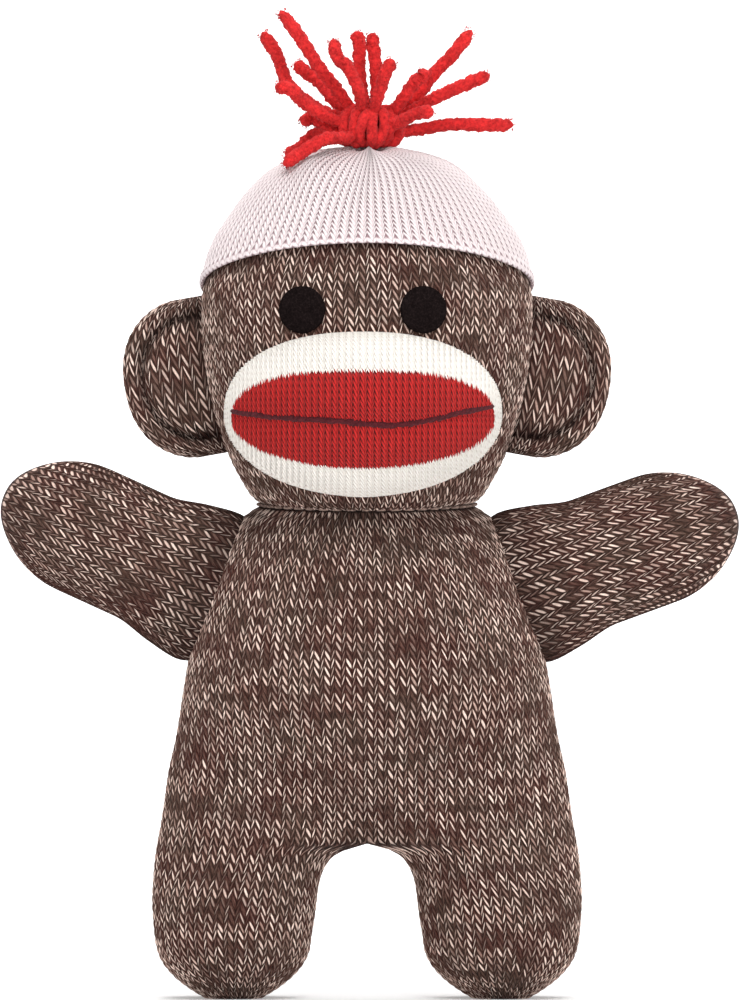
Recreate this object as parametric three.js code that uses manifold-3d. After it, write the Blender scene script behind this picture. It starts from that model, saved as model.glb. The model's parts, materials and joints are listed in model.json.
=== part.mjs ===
// A sock-knit toy monkey, 20 cm tall, standing on the flat soles of its legs.
// Millimetres, +Z up, the face looks along -Y, and +X is on the viewer's right.
// Every stuffed piece is a thin knit cover with its own filling inside it.

import * as THREE from 'three';
import { mergeVertices } from 'three/addons/utils/BufferGeometryUtils.js';
import Module from 'manifold-3d';

const wasm = await Module();
wasm.setup();

// Driving dimensions.
const KNIT = 1.1; // thickness of the brown knit
const GAP = 0.35; // clearance between neighbouring pieces
const NECK_Z = 98.5; // the seam between torso and head
const HIP_Z = 31; // the axis that both legs swing about
const LEG_X = 26; // centre line of each leg
const LEG_HALF_WIDTH = 16.2;
const LEG_HALF_DEPTH = 14.5;
const SOLE_RADIUS = 9.5;
const FOOT_ROUND = 12; // the height over which a foot rounds in to its sole
const CROTCH_Z = 30.8; // the top of the arch between the legs
const TORSO_HALF_WIDTH = 41.2; // at its widest, just above the legs
const TORSO_BOTTOM = 29;
const TORSO_FLATNESS = 0.72; // depth as a share of width where the torso is deepest
const TORSO_SLIM = 0.35; // how much of that flatness is left right below the legs' tops
const NECK_ROUNDING = 0.75; // how far the torso gets towards the neck's own flatness
const NECK_SHARE = 0.52; // the neck's width as a share of the torso's
const NECK_FLATNESS = 0.8;
const HEAD_HEIGHT = 71;
const HEAD_HALF_WIDTH = 32.6;
const ARM_ROOT = new THREE.Vector3(31, 0, 82); // right shoulder; the left is its mirror image
const ARM_RISE = 20; // degrees above the horizontal at rest
const ARM_LENGTH = 45.5; // shoulder axis to the tip
const ARM_HALF_HEIGHT = 13.2;
const ARM_TIP_RADIUS = 11.3;
const ARM_FLATNESS = 0.75; // depth as a share of height
const ARM_INSIDE_SHARE = 0.72; // how far the open root reaches past the shoulder, of the half height
const ARM_TURNS = [-42, 20]; // lowest and highest swing that the torso is cut clear for
const LEG_TURNS = [-27, 47]; // the same for the legs, forward positive
const NOD_CLEAR = 14; // degrees of clearance cut round the neck for the nod
const EAR_CENTRE = new THREE.Vector3(34.2, 3, 124.2);
const EAR_TILT = 10; // degrees that the ear's seam line leans outwards
const EAR_REACH = 14;
const EAR_HALF_HEIGHT = 16;
const EAR_HALF_THICKNESS = 3.4;
const EAR_INSIDE_SHARE = 0.55; // how far the open root reaches past the fold line, of the half thickness
const EAR_STITCH_SHARE = 0.78; // where the line of stitches runs, as a share of the ear's reach
const EAR_STITCH_TURN = 78; // degrees that the line of stitches runs either way from its middle
const FACE_X = -0.8; // the face sits slightly to one side
const MUZZLE_CENTRE = new THREE.Vector3(FACE_X, -16, 116.4);
const MUZZLE_RADII = new THREE.Vector3(27.8, 20, 16.6);
const LIPS_HALF_WIDTH = 26.1;
const LIPS_HALF_HEIGHT = 9.6;
const LIPS_DROP = 1; // how far the lips' middle is below the muzzle's
const MOUTH_RISE = 1.4; // how far the mouth's ends are above the muzzle's middle
const MOUTH_SAG = 3; // how far the mouth's middle hangs below its ends
const MOUTH_SHARE = 0.97; // the mouth's length as a share of the lips'
const EYE_SPACING = 23.4;
const EYE_Z = 137.2;
const EYE_RADIUS = 4.7;
const EYE_THICKNESS = 1.2;
const HAT_THICKNESS = 1.2;
const HAT_RIM_Z = 141.6; // at the sides
const HAT_RIM_SLOPE = 17; // degrees; the rim is higher in front
const KNOT = new THREE.Vector3(0.6, 0, 174.6); // centre of the tassel's knot
const KNOT_RADIUS = 4.8;
const KNOT_HALF_HEIGHT = 3;
const YARN_RADIUS = 1.35;
const THREAD_RADIUS = 0.5;
const AROUND = 22; // facets round a stuffed form
const MIDDLE_Y = 5; // sets the origin under the middle of the whole toy, muzzle included
const WIDE = 160; // a length that reaches past the whole toy, for the cutting blocks

const material = (name, color, roughness) =>
  new THREE.MeshStandardMaterial({ name, color, roughness, metalness: 0 });

const brownKnit = () => material('brown_marl_knit', 0x6d564e, 0.95);
const creamKnit = () => material('cream_knit', 0xf6eee4, 0.95);
const redKnit = () => material('red_knit', 0xb02d2c, 0.9);
const whiteKnit = () => material('white_knit', 0xe2d0d1, 0.95);
const blackFelt = () => material('black_felt', 0x1e1818, 0.95);
const redYarn = () => material('red_yarn', 0xb02120, 0.95);
const darkYarn = () => material('dark_yarn', 0x58222a, 0.9);
const paleThread = () => material('pale_thread', 0xb9aca6, 0.8);
const filling = () => material('white_filling', 0xf2efe8, 1);

// Booleans on three.js geometry.

function solid(geometry) {
  const bare = geometry.index ? geometry.clone() : geometry;
  bare.deleteAttribute('normal');
  bare.deleteAttribute('uv');
  const merged = mergeVertices(bare, 1e-5);
  return new wasm.Manifold(new wasm.Mesh({
    numProp: 3,
    vertProperties: new Float32Array(merged.attributes.position.array),
    triVerts: new Uint32Array(merged.index.array),
  }));
}

function geometryOf(manifold) {
  const mesh = manifold.getMesh();
  const geometry = new THREE.BufferGeometry();
  geometry.setAttribute('position', new THREE.BufferAttribute(new Float32Array(mesh.vertProperties), 3));
  geometry.setIndex(new THREE.BufferAttribute(new Uint32Array(mesh.triVerts), 1));
  geometry.computeVertexNormals();
  return geometry;
}

const radians = THREE.MathUtils.degToRad;

// A copy of a geometry whose surface is moved out along its normals, or in when distance is negative.
function grown(geometry, distance) {
  const copy = geometry.clone();
  copy.deleteAttribute('normal');
  copy.deleteAttribute('uv');
  const merged = mergeVertices(copy, 1e-5);
  merged.computeVertexNormals();
  const { position, normal } = merged.attributes;
  for (let i = 0; i < position.count; i += 1) {
    position.setXYZ(
      i,
      position.getX(i) + normal.getX(i) * distance,
      position.getY(i) + normal.getY(i) * distance,
      position.getZ(i) + normal.getZ(i) * distance,
    );
  }
  return merged;
}

// A stuffed form: a profile of [half width, height] turned about Z, then flattened in depth.
// The profile starts and ends on the axis. flatness is a number or a function of height.
function stuffedForm(profile, flatness) {
  const points = profile.map(([radius, height]) => new THREE.Vector2(radius, height));
  const geometry = new THREE.LatheGeometry(points, AROUND);
  geometry.rotateX(Math.PI / 2);
  const { position } = geometry.attributes;
  for (let i = 0; i < position.count; i += 1) {
    const share = typeof flatness === 'number' ? flatness : flatness(position.getZ(i));
    position.setY(i, position.getY(i) * share);
  }
  return geometry;
}

// Points of a smooth profile through a few hand-set ones, with the two ends on the axis kept.
function smoothProfile(points, steps) {
  const inner = points.slice(1, -1).map(([radius, height]) => new THREE.Vector2(radius, height));
  const curve = new THREE.SplineCurve(inner);
  const smooth = curve.getSpacedPoints(steps).map((point) => [point.x, point.y]);
  return [points[0], ...smooth, points[points.length - 1]];
}

function moved(geometry, x, y, z) {
  return geometry.clone().translate(x, y, z);
}

// Turns a geometry about an axis through a point.
function turned(geometry, point, axis, degrees) {
  const copy = geometry.clone().translate(-point.x, -point.y, -point.z);
  copy.applyMatrix4(new THREE.Matrix4().makeRotationAxis(axis, radians(degrees)));
  return copy.translate(point.x, point.y, point.z);
}

function mirrored(geometry) {
  const copy = geometry.clone();
  const { position } = copy.attributes;
  for (let i = 0; i < position.count; i += 1) {
    position.setX(i, -position.getX(i));
  }
  const index = copy.index.array;
  for (let i = 0; i < index.length; i += 3) {
    [index[i], index[i + 1]] = [index[i + 1], index[i]];
  }
  copy.computeVertexNormals();
  return copy;
}

function tube(points, radius, sides, steps) {
  const path = new THREE.CatmullRomCurve3(points);
  const section = new THREE.Shape();
  for (let i = 0; i < sides; i += 1) {
    const angle = (2 * Math.PI * i) / sides;
    const [x, y] = [radius * Math.cos(angle), radius * Math.sin(angle)];
    if (i === 0) section.moveTo(x, y);
    else section.lineTo(x, y);
  }
  section.closePath();
  return new THREE.ExtrudeGeometry(section, { extrudePath: path, steps, curveSegments: sides });
}

const X_AXIS = new THREE.Vector3(1, 0, 0);
const Y_AXIS = new THREE.Vector3(0, 1, 0);

// A stuffed piece is a cover and a filling made from one form, both cut by the same solids.
function coverOf(form, cuts) {
  let cover = solid(form).subtract(solid(grown(form, -KNIT)));
  for (const cut of cuts) cover = cover.subtract(cut);
  return cover;
}

function fillingOf(form, cuts) {
  let inside = solid(grown(form, -KNIT - GAP));
  for (const cut of cuts) inside = inside.subtract(cut);
  return inside;
}

const monkey = new THREE.Group();
monkey.name = 'sock_monkey';
monkey.position.y = MIDDLE_Y;

function add(name, shape, look) {
  const geometry = shape instanceof THREE.BufferGeometry ? shape : geometryOf(shape);
  const mesh = new THREE.Mesh(geometry, look);
  mesh.name = name;
  monkey.add(mesh);
}

// Names a piece on each side. The left piece is on -X and is the mirror image of the right one.
function addPair(before, after, shape, look) {
  const geometry = shape instanceof THREE.BufferGeometry ? shape : geometryOf(shape);
  add(`${before}_right_${after}`, geometry, look());
  add(`${before}_left_${after}`, mirrored(geometry), look());
}

// Arms: a capsule that tapers to the tip. Its root is round about the shoulder axis.

function armForm() {
  const profile = [[0, -ARM_HALF_HEIGHT]];
  const roundSteps = 4;
  for (let i = 1; i <= roundSteps; i += 1) {
    const angle = (Math.PI / 2) * (i / roundSteps);
    profile.push([ARM_HALF_HEIGHT * Math.sin(angle), -ARM_HALF_HEIGHT * Math.cos(angle)]);
  }
  const tipCentre = ARM_LENGTH - ARM_TIP_RADIUS;
  for (let i = 0; i < roundSteps; i += 1) {
    const angle = (Math.PI / 2) * (i / roundSteps);
    profile.push([ARM_TIP_RADIUS * Math.cos(angle), tipCentre + ARM_TIP_RADIUS * Math.sin(angle)]);
  }
  profile.push([0, ARM_LENGTH]);
  const form = stuffedForm(profile, ARM_FLATNESS);
  form.rotateY(radians(90 - ARM_RISE));
  return form.translate(ARM_ROOT.x, ARM_ROOT.y, ARM_ROOT.z);
}

// The end of the arm that is sewn to the torso is open, so its cover is cut off flat there.
function armOpening() {
  const size = 4 * ARM_HALF_HEIGHT;
  const block = new THREE.BoxGeometry(size, size, size);
  block.translate(-size / 2 - ARM_INSIDE_SHARE * ARM_HALF_HEIGHT, 0, 0);
  block.rotateY(radians(-ARM_RISE));
  return solid(block.translate(ARM_ROOT.x, ARM_ROOT.y, ARM_ROOT.z));
}

// All that an arm passes through, with clearance: a fan about the shoulder axis.
function armSweep() {
  const clear = ARM_HALF_HEIGHT + 2 * GAP;
  const depth = ARM_FLATNESS * ARM_HALF_HEIGHT + 2 * GAP;
  const [lowest, highest] = ARM_TURNS.map((degrees) => radians(ARM_RISE + degrees));
  const fan = new THREE.Shape();
  fan.absarc(0, 0, clear, highest + Math.PI / 2, lowest + 1.5 * Math.PI, false);
  for (const [angle, side] of [[lowest, -1], [highest, 1]]) {
    fan.lineTo(
      ARM_LENGTH * Math.cos(angle) - side * clear * Math.sin(angle),
      ARM_LENGTH * Math.sin(angle) + side * clear * Math.cos(angle),
    );
  }
  fan.closePath();
  const slab = new THREE.ExtrudeGeometry(fan, { depth: 2 * depth, bevelEnabled: false, curveSegments: 16 });
  slab.rotateX(Math.PI / 2);
  return solid(slab.translate(ARM_ROOT.x, ARM_ROOT.y + depth, ARM_ROOT.z));
}

// Legs: short columns with flat soles. Their tops are round about the hip axis.

function legForm() {
  const top = HIP_Z + 2 * LEG_HALF_DEPTH;
  const profile = [
    [0, 0],
    [SOLE_RADIUS, 0],
    [0.75 * LEG_HALF_WIDTH, 0.18 * FOOT_ROUND],
    [0.88 * LEG_HALF_WIDTH, 0.54 * FOOT_ROUND],
    [0.96 * LEG_HALF_WIDTH, FOOT_ROUND],
    [LEG_HALF_WIDTH, 1.7 * FOOT_ROUND],
    [LEG_HALF_WIDTH, HIP_Z],
    [0.95 * LEG_HALF_WIDTH, top],
    [0, top],
  ];
  return moved(stuffedForm(profile, LEG_HALF_DEPTH / LEG_HALF_WIDTH), LEG_X, 0, 0);
}

// A round bar along the hip axis, wide enough to cross one leg.
function hipRound(radius, halfLength) {
  const bar = new THREE.CylinderGeometry(radius, radius, 2 * halfLength, 20);
  return moved(bar.rotateZ(Math.PI / 2), LEG_X, 0, HIP_Z);
}

// What a leg keeps: everything below the hip axis and the round top.
function legKeep() {
  const reach = 2 * LEG_HALF_WIDTH;
  const below = moved(new THREE.BoxGeometry(2 * reach, 2 * reach, HIP_Z), LEG_X, 0, HIP_Z / 2);
  return solid(below).add(solid(hipRound(LEG_HALF_DEPTH, reach)));
}

// All that a leg passes through at the hip: the round top, the column in front and behind, and the
// space outside it.
function legSweep() {
  const clear = LEG_HALF_DEPTH + 2 * GAP;
  const halfLength = LEG_HALF_WIDTH + 2 * GAP;
  let sweep = solid(hipRound(clear, halfLength));
  const column = new THREE.BoxGeometry(2 * halfLength, 2 * clear, 2 * HIP_Z);
  const hip = new THREE.Vector3(LEG_X, 0, HIP_Z);
  for (const degrees of [0, ...LEG_TURNS]) {
    const standing = moved(column, LEG_X, 0, 0);
    sweep = sweep.add(solid(turned(standing, hip, X_AXIS, -degrees)));
  }
  const width = LEG_HALF_WIDTH;
  const outside = new THREE.BoxGeometry(width, 4 * clear, 2 * HIP_Z);
  return sweep.add(solid(moved(outside, LEG_X + halfLength + 0.45 * width, 0, 0)));
}

// Torso: a pear-shaped sack from the hips to the neck.

// Shares of the half width, and of the height from the bottom to the neck.
const TORSO_SHARES = [
  [0.9, 0], [1, 0.06], [0.95, 0.25], [0.88, 0.475], [0.8, 0.675], [0.66, 0.865], [NECK_SHARE, 1],
];

function torsoHeight(share) {
  return TORSO_BOTTOM + share * (NECK_Z - TORSO_BOTTOM);
}

function torsoForm() {
  const sides = TORSO_SHARES.map(([width, height]) => [width * TORSO_HALF_WIDTH, torsoHeight(height)]);
  const profile = smoothProfile([[0, TORSO_BOTTOM], ...sides, [0, NECK_Z]], 9);
  const [slimBelow, deepFrom, roundFrom] = [-0.17, 0.475, 0.59].map(torsoHeight);
  return stuffedForm(profile, (z) => {
    const deep = THREE.MathUtils.smoothstep(z, slimBelow, deepFrom);
    const round = THREE.MathUtils.smoothstep(z, roundFrom, NECK_Z);
    const full = TORSO_FLATNESS * THREE.MathUtils.lerp(TORSO_SLIM, 1, deep);
    return THREE.MathUtils.lerp(full, NECK_FLATNESS, NECK_ROUNDING * round);
  });
}

function torsoCuts() {
  const above = new THREE.BoxGeometry(WIDE, WIDE, WIDE);
  const top = moved(above, 0, 0, NECK_Z - THREAD_RADIUS - GAP + WIDE / 2);
  const archRadius = LEG_X - LEG_HALF_WIDTH - GAP / 2;
  const arch = new THREE.CylinderGeometry(archRadius, archRadius, WIDE, 20);
  const arm = armSweep();
  const leg = legSweep();
  return [
    solid(top),
    solid(moved(arch, 0, 0, CROTCH_Z - archRadius)),
    arm,
    arm.mirror([1, 0, 0]),
    leg,
    leg.mirror([1, 0, 0]),
  ];
}

// Neck: the running stitch that gathers the head onto the torso.

function neckRing() {
  const ring = new THREE.TorusGeometry(NECK_SHARE * TORSO_HALF_WIDTH, THREAD_RADIUS, 6, 28);
  ring.scale(1, NECK_FLATNESS, 1);
  return moved(ring, 0, 0, NECK_Z);
}

// A shallow cone of clearance over the neck, so that the head can nod.
function nodClearance(radius) {
  const rise = radius * Math.tan(radians(NOD_CLEAR));
  const start = NECK_Z + KNIT + GAP;
  const bottom = start - radius;
  const points = [[0, bottom], [radius, bottom], [radius, start + rise], [0, start]];
  const profile = points.map(([r, z]) => new THREE.Vector2(r, z));
  const cone = new THREE.LatheGeometry(profile, 24);
  return solid(cone.rotateX(Math.PI / 2));
}

// Head: an egg that is a little flatter in depth. The hat hides its top.

const HEAD_SHARES = [
  [0.6, 0], [0.77, 0.07], [0.87, 0.18], [0.95, 0.32], [1, 0.5],
  [0.99, 0.62], [0.93, 0.72], [0.79, 0.83], [0.58, 0.92], [0.3, 0.985],
];
const HEAD_FLATNESS = 0.86;

function headProfile(extra, steps) {
  const points = HEAD_SHARES.map(([width, height]) => [
    width * HEAD_HALF_WIDTH + extra,
    NECK_Z + height * (HEAD_HEIGHT + extra),
  ]);
  const top = NECK_Z + HEAD_HEIGHT + extra;
  return smoothProfile([[0, NECK_Z], ...points, [0, top]], steps);
}

function headForm(extra) {
  return stuffedForm(headProfile(extra, 10), HEAD_FLATNESS);
}

// The head's half width at a height, read from its profile.
function headHalfWidth(z) {
  const profile = headProfile(0, 60);
  const above = profile.findIndex(([, height], i) => i > 1 && height >= z);
  const [lowRadius, lowZ] = profile[above - 1];
  const [highRadius, highZ] = profile[above];
  return THREE.MathUtils.mapLinear(z, lowZ, highZ, lowRadius, highRadius);
}

// Ears: flat puffy half rounds. The edge next to the head is round about the fold line.

function earForm(shrink) {
  const ball = new THREE.SphereGeometry(1, 16, 8);
  const { position } = ball.attributes;
  for (let i = 0; i < position.count; i += 1) {
    const outwards = position.getX(i) > 0 ? EAR_REACH : EAR_HALF_THICKNESS;
    position.setXYZ(
      i,
      position.getX(i) * (outwards - shrink),
      position.getZ(i) * (EAR_HALF_THICKNESS - shrink),
      position.getY(i) * (EAR_HALF_HEIGHT - shrink),
    );
  }
  const index = ball.index.array;
  for (let i = 0; i < index.length; i += 3) {
    [index[i], index[i + 1]] = [index[i + 1], index[i]];
  }
  ball.rotateY(radians(EAR_TILT));
  return ball.translate(EAR_CENTRE.x, EAR_CENTRE.y, EAR_CENTRE.z);
}

function earOpening() {
  const size = 4 * EAR_HALF_HEIGHT;
  const block = new THREE.BoxGeometry(size, size, size);
  block.translate(-size / 2 - EAR_INSIDE_SHARE * EAR_HALF_THICKNESS, 0, 0);
  block.rotateY(radians(EAR_TILT));
  return solid(block.translate(EAR_CENTRE.x, EAR_CENTRE.y, EAR_CENTRE.z));
}

// The line of stitches that follows the ear's rim, lying on its front face.
function earTopstitch() {
  const bow = Math.sqrt(1 - EAR_STITCH_SHARE ** 2);
  const points = [];
  const steps = 12;
  for (let i = 0; i <= steps; i += 1) {
    const turn = radians(EAR_STITCH_TURN * ((2 * i) / steps - 1));
    const outwards = EAR_REACH * EAR_STITCH_SHARE * Math.cos(turn);
    const up = EAR_HALF_HEIGHT * EAR_STITCH_SHARE * Math.sin(turn);
    points.push(new THREE.Vector3(outwards, -EAR_HALF_THICKNESS * bow - THREAD_RADIUS - GAP, up));
  }
  const thread = tube(points, THREAD_RADIUS, 6, 14);
  thread.rotateY(radians(EAR_TILT));
  return mergeVertices(plain(thread).translate(EAR_CENTRE.x, EAR_CENTRE.y, EAR_CENTRE.z));
}

function plain(geometry) {
  geometry.deleteAttribute('normal');
  geometry.deleteAttribute('uv');
  return geometry;
}

// Muzzle: an oval bulge sewn to the front of the head, with the lips lying on it.

function muzzleForm(extra) {
  const ball = new THREE.SphereGeometry(1, 24, 12);
  ball.scale(MUZZLE_RADII.x + extra, MUZZLE_RADII.y + extra, MUZZLE_RADII.z + extra);
  return ball.translate(MUZZLE_CENTRE.x, MUZZLE_CENTRE.y, MUZZLE_CENTRE.z);
}

// The muzzle's front surface, which the lips and the mouth stitch follow.
function muzzleFrontY(x, z, extra) {
  const across = (x - MUZZLE_CENTRE.x) / (MUZZLE_RADII.x + extra);
  const up = (z - MUZZLE_CENTRE.z) / (MUZZLE_RADII.z + extra);
  const ahead = Math.sqrt(Math.max(0, 1 - across * across - up * up));
  return MUZZLE_CENTRE.y - (MUZZLE_RADII.y + extra) * ahead;
}

function lips() {
  const ahead = 2 * MUZZLE_RADII.y;
  const patch = new THREE.CylinderGeometry(1, 1, ahead, 32);
  patch.scale(LIPS_HALF_WIDTH, 1, LIPS_HALF_HEIGHT);
  const reach = moved(patch, MUZZLE_CENTRE.x, MUZZLE_CENTRE.y - ahead / 2, MUZZLE_CENTRE.z - LIPS_DROP);
  const shell = solid(muzzleForm(GAP + KNIT)).subtract(solid(muzzleForm(GAP)));
  return shell.intersect(solid(reach));
}

function mouthStitch() {
  const lift = GAP + KNIT + GAP + THREAD_RADIUS;
  const points = [];
  const steps = 10;
  for (let i = 0; i <= steps; i += 1) {
    const share = MOUTH_SHARE * ((2 * i) / steps - 1);
    const x = FACE_X + share * LIPS_HALF_WIDTH;
    const z = MUZZLE_CENTRE.z + MOUTH_RISE - MOUTH_SAG * (1 - share ** 2);
    points.push(new THREE.Vector3(x, muzzleFrontY(x, z, lift), z));
  }
  return mergeVertices(plain(tube(points, THREAD_RADIUS, 6, 16)));
}

// Eyes: felt discs glued flat against the curve of the head.

function eye(side) {
  const x = FACE_X + (side * EYE_SPACING) / 2;
  const halfWidth = headHalfWidth(EYE_Z);
  const halfDepth = halfWidth * HEAD_FLATNESS;
  const y = -halfDepth * Math.sqrt(1 - (x / halfWidth) ** 2);
  const outwards = new THREE.Vector3(x / halfWidth ** 2, y / halfDepth ** 2, 0).normalize();
  const disc = new THREE.CylinderGeometry(EYE_RADIUS, EYE_RADIUS, EYE_THICKNESS, 20);
  disc.applyQuaternion(new THREE.Quaternion().setFromUnitVectors(Y_AXIS, outwards));
  const stand = EYE_THICKNESS / 2 + GAP;
  return mergeVertices(plain(moved(
    disc,
    x + outwards.x * stand,
    y + outwards.y * stand,
    EYE_Z,
  )));
}

// Hat: a knit cap drawn in at the crown, with its rim higher in front.

function hatCap() {
  const shell = solid(headForm(HAT_THICKNESS + GAP)).subtract(solid(headForm(GAP)));
  const below = new THREE.BoxGeometry(WIDE, WIDE, WIDE);
  below.translate(0, 0, -WIDE / 2);
  below.rotateX(radians(-HAT_RIM_SLOPE));
  return shell.subtract(solid(moved(below, 0, 0, HAT_RIM_Z)));
}

function knot() {
  const ball = new THREE.SphereGeometry(1, 14, 8);
  ball.rotateX(Math.PI / 2);
  ball.scale(KNOT_RADIUS, KNOT_RADIUS, KNOT_HALF_HEIGHT);
  return mergeVertices(plain(moved(ball, KNOT.x, KNOT.y, KNOT.z)));
}

// Tassel: each strand of yarn leaves the knot towards its bend, and ends at its tip.
const STRANDS = [
  { bend: [-9.6, -2.4, 186], tip: [-17.4, -3, 197.4] },
  { bend: [-15.5, 3, 182.5], tip: [-21, 4, 193.4] },
  { bend: [-13.4, -6.5, 179.5], tip: [-18.4, -8, 182] },
  { bend: [-9.6, 8.5, 183.5], tip: [-14.4, 11, 187.6] },
  { bend: [-4, -8.4, 186], tip: [-6.8, -10.5, 191.4] },
  { bend: [-1.6, 4.5, 187], tip: [-2.4, 6, 193.6] },
  { bend: [1.8, -1, 186], tip: [1, -1.2, 193] },
  { bend: [3, -7, 182.6], tip: [5.2, -9, 187.4] },
  { bend: [13, 3.5, 184.5], tip: [21, 5, 193.8] },
  { bend: [9.5, -4.5, 183], tip: [11.6, -6, 185.4] },
  { bend: [15, -1.5, 180.6], tip: [24.6, -2, 184.6] },
  { bend: [9.8, -8, 176.6], tip: [13, -11, 177] },
  { bend: [17, 2, 174.8], tip: [29.4, 3, 174.8] },
  { bend: [-9.5, -1, 175.2], tip: [-13, -1.5, 174.6] },
  { bend: [-10.5, 8, 173], tip: [-16.4, 10.5, 168.8] },
  { bend: [-8.5, -10, 171.4], tip: [-16.6, -13, 166.2] },
];

function strand({ bend, tip }) {
  const towards = new THREE.Vector3(...bend).sub(KNOT).normalize();
  const edge = 1 / Math.hypot(
    towards.x / KNOT_RADIUS,
    towards.y / KNOT_RADIUS,
    towards.z / KNOT_HALF_HEIGHT,
  );
  const start = KNOT.clone().addScaledVector(towards, edge + YARN_RADIUS + GAP);
  const points = [start, new THREE.Vector3(...bend), new THREE.Vector3(...tip)];
  return mergeVertices(plain(tube(points, YARN_RADIUS, 8, 5)));
}

// Assembly.

const torso = torsoForm();
const torsoCut = torsoCuts();
add('torso_cover', coverOf(torso, torsoCut), brownKnit());
add('torso_filling', fillingOf(torso, torsoCut), filling());

const leg = legForm();
const legKept = legKeep();
addPair('leg', 'cover', coverOf(leg, []).intersect(legKept), brownKnit);
addPair('leg', 'filling', fillingOf(leg, []).intersect(legKept), filling);

const arm = armForm();
const armCut = [armOpening()];
addPair('arm', 'cover', coverOf(arm, armCut), brownKnit);
addPair('arm', 'filling', fillingOf(arm, armCut), filling);

add('neck_seam_thread', mergeVertices(plain(neckRing())), paleThread());

const head = headForm(0);
const headCut = [nodClearance(1.25 * HEAD_HALF_WIDTH)];
add('head_cover', coverOf(head, headCut), brownKnit());
add('head_filling', fillingOf(head, headCut), filling());

const earCut = [earOpening()];
const earCover = solid(earForm(0)).subtract(solid(earForm(KNIT))).subtract(earCut[0]);
addPair('ear', 'cover', earCover, brownKnit);
addPair('ear', 'wadding', solid(earForm(KNIT + GAP)).subtract(earCut[0]), filling);
addPair('ear', 'topstitch', earTopstitch(), paleThread);

const muzzleBack = [solid(headForm(GAP)), nodClearance(0.65 * HEAD_HALF_WIDTH)];
let muzzleCover = solid(muzzleForm(0)).subtract(solid(muzzleForm(-KNIT)));
let muzzleInside = solid(muzzleForm(-KNIT - GAP));
for (const cut of muzzleBack) {
  muzzleCover = muzzleCover.subtract(cut);
  muzzleInside = muzzleInside.subtract(cut);
}
add('muzzle_cover', muzzleCover, creamKnit());
add('muzzle_filling', muzzleInside, filling());
add('lips', lips(), redKnit());
add('mouth_stitch', mouthStitch(), darkYarn());
add('eye_left', eye(-1), blackFelt());
add('eye_right', eye(1), blackFelt());

add('hat_cap', hatCap(), whiteKnit());
add('tassel_knot', knot(), redYarn());
STRANDS.forEach((shape, i) => {
  add(`tassel_strand_${String(i + 1).padStart(2, '0')}`, strand(shape), redYarn());
});

export default monkey;
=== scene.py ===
import json
import math

import bpy
import numpy as np
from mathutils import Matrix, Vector


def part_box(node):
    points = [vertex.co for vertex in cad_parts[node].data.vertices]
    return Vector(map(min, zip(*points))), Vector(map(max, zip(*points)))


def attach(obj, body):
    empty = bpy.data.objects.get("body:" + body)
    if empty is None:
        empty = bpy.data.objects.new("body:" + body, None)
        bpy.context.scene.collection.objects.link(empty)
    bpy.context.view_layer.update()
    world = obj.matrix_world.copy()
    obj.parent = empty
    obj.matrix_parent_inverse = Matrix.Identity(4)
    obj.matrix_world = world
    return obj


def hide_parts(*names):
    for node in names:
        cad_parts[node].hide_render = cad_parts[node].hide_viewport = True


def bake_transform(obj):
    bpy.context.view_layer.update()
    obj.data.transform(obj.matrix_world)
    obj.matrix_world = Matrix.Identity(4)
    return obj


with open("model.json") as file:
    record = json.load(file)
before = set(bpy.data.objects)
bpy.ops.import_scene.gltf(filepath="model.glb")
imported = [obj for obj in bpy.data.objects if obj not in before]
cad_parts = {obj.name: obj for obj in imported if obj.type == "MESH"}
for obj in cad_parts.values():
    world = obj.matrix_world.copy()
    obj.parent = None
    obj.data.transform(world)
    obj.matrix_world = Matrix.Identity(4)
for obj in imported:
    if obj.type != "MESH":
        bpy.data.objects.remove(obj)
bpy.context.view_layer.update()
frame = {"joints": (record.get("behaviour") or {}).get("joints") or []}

# The looks of a small sock-knit monkey. Lengths are metres, in the frame's axes: the face looks
# along -Y, and +X is on the viewer's right. Each cover is a sheet of real stitches: its mesh rows
# follow the slanting legs of the knit's V stitches, and a shader draws the two plies of the yarn.

MM = 0.001
TURN = 2 * math.pi

# ---- Places from the frame ----

joints = {joint["name"]: joint for joint in frame["joints"]}


def size_of(node):
    low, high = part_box(node)
    return high - low


def centre_of(node):
    low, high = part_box(node)
    return (low + high) / 2


NECK = joints["head_turn"]["pos_m"]
MIDDLE_Y = NECK[1]
NECK_Z = NECK[2]
SHOULDER = joints["arm_right_swing"]["pos_m"]
ARM_RISE = math.radians(20)  # how steeply the arms point up
HEAD_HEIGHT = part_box("hat_cap")[1].z - NECK_Z
HAT_ALLOWANCE = 0.7 * MM  # how much of the hat's half width lies outside the head's outline
HEAD_HALF_WIDTH = size_of("hat_cap").x / 2 - HAT_ALLOWANCE
HEAD_FLATNESS = size_of("hat_cap").y / size_of("hat_cap").x
LEG_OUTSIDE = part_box("leg_right_cover")[1].x
LEG_HALF_DEPTH = size_of("leg_right_cover").y / 2
TORSO_HALF_DEPTH = size_of("torso_cover").y / 2
FACE_X = centre_of("muzzle_cover").x
LIPS_HALF_WIDTH = size_of("lips").x / 2
LIPS_HALF_HEIGHT = size_of("lips").z / 2
LIPS_Z = centre_of("lips").z
EYE_RADIUS = size_of("eye_left").z / 2
KNOT = centre_of("tassel_knot")

# How high a course of the body's brown knit is. The other pieces are given a count of courses.
COURSE = 1.7 * MM

# ---- Small helpers ----


def smooth_step(x, low, high):
    t = np.clip((np.asarray(x, float) - low) / (high - low), 0, 1)
    return t * t * (3 - 2 * t)


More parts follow.
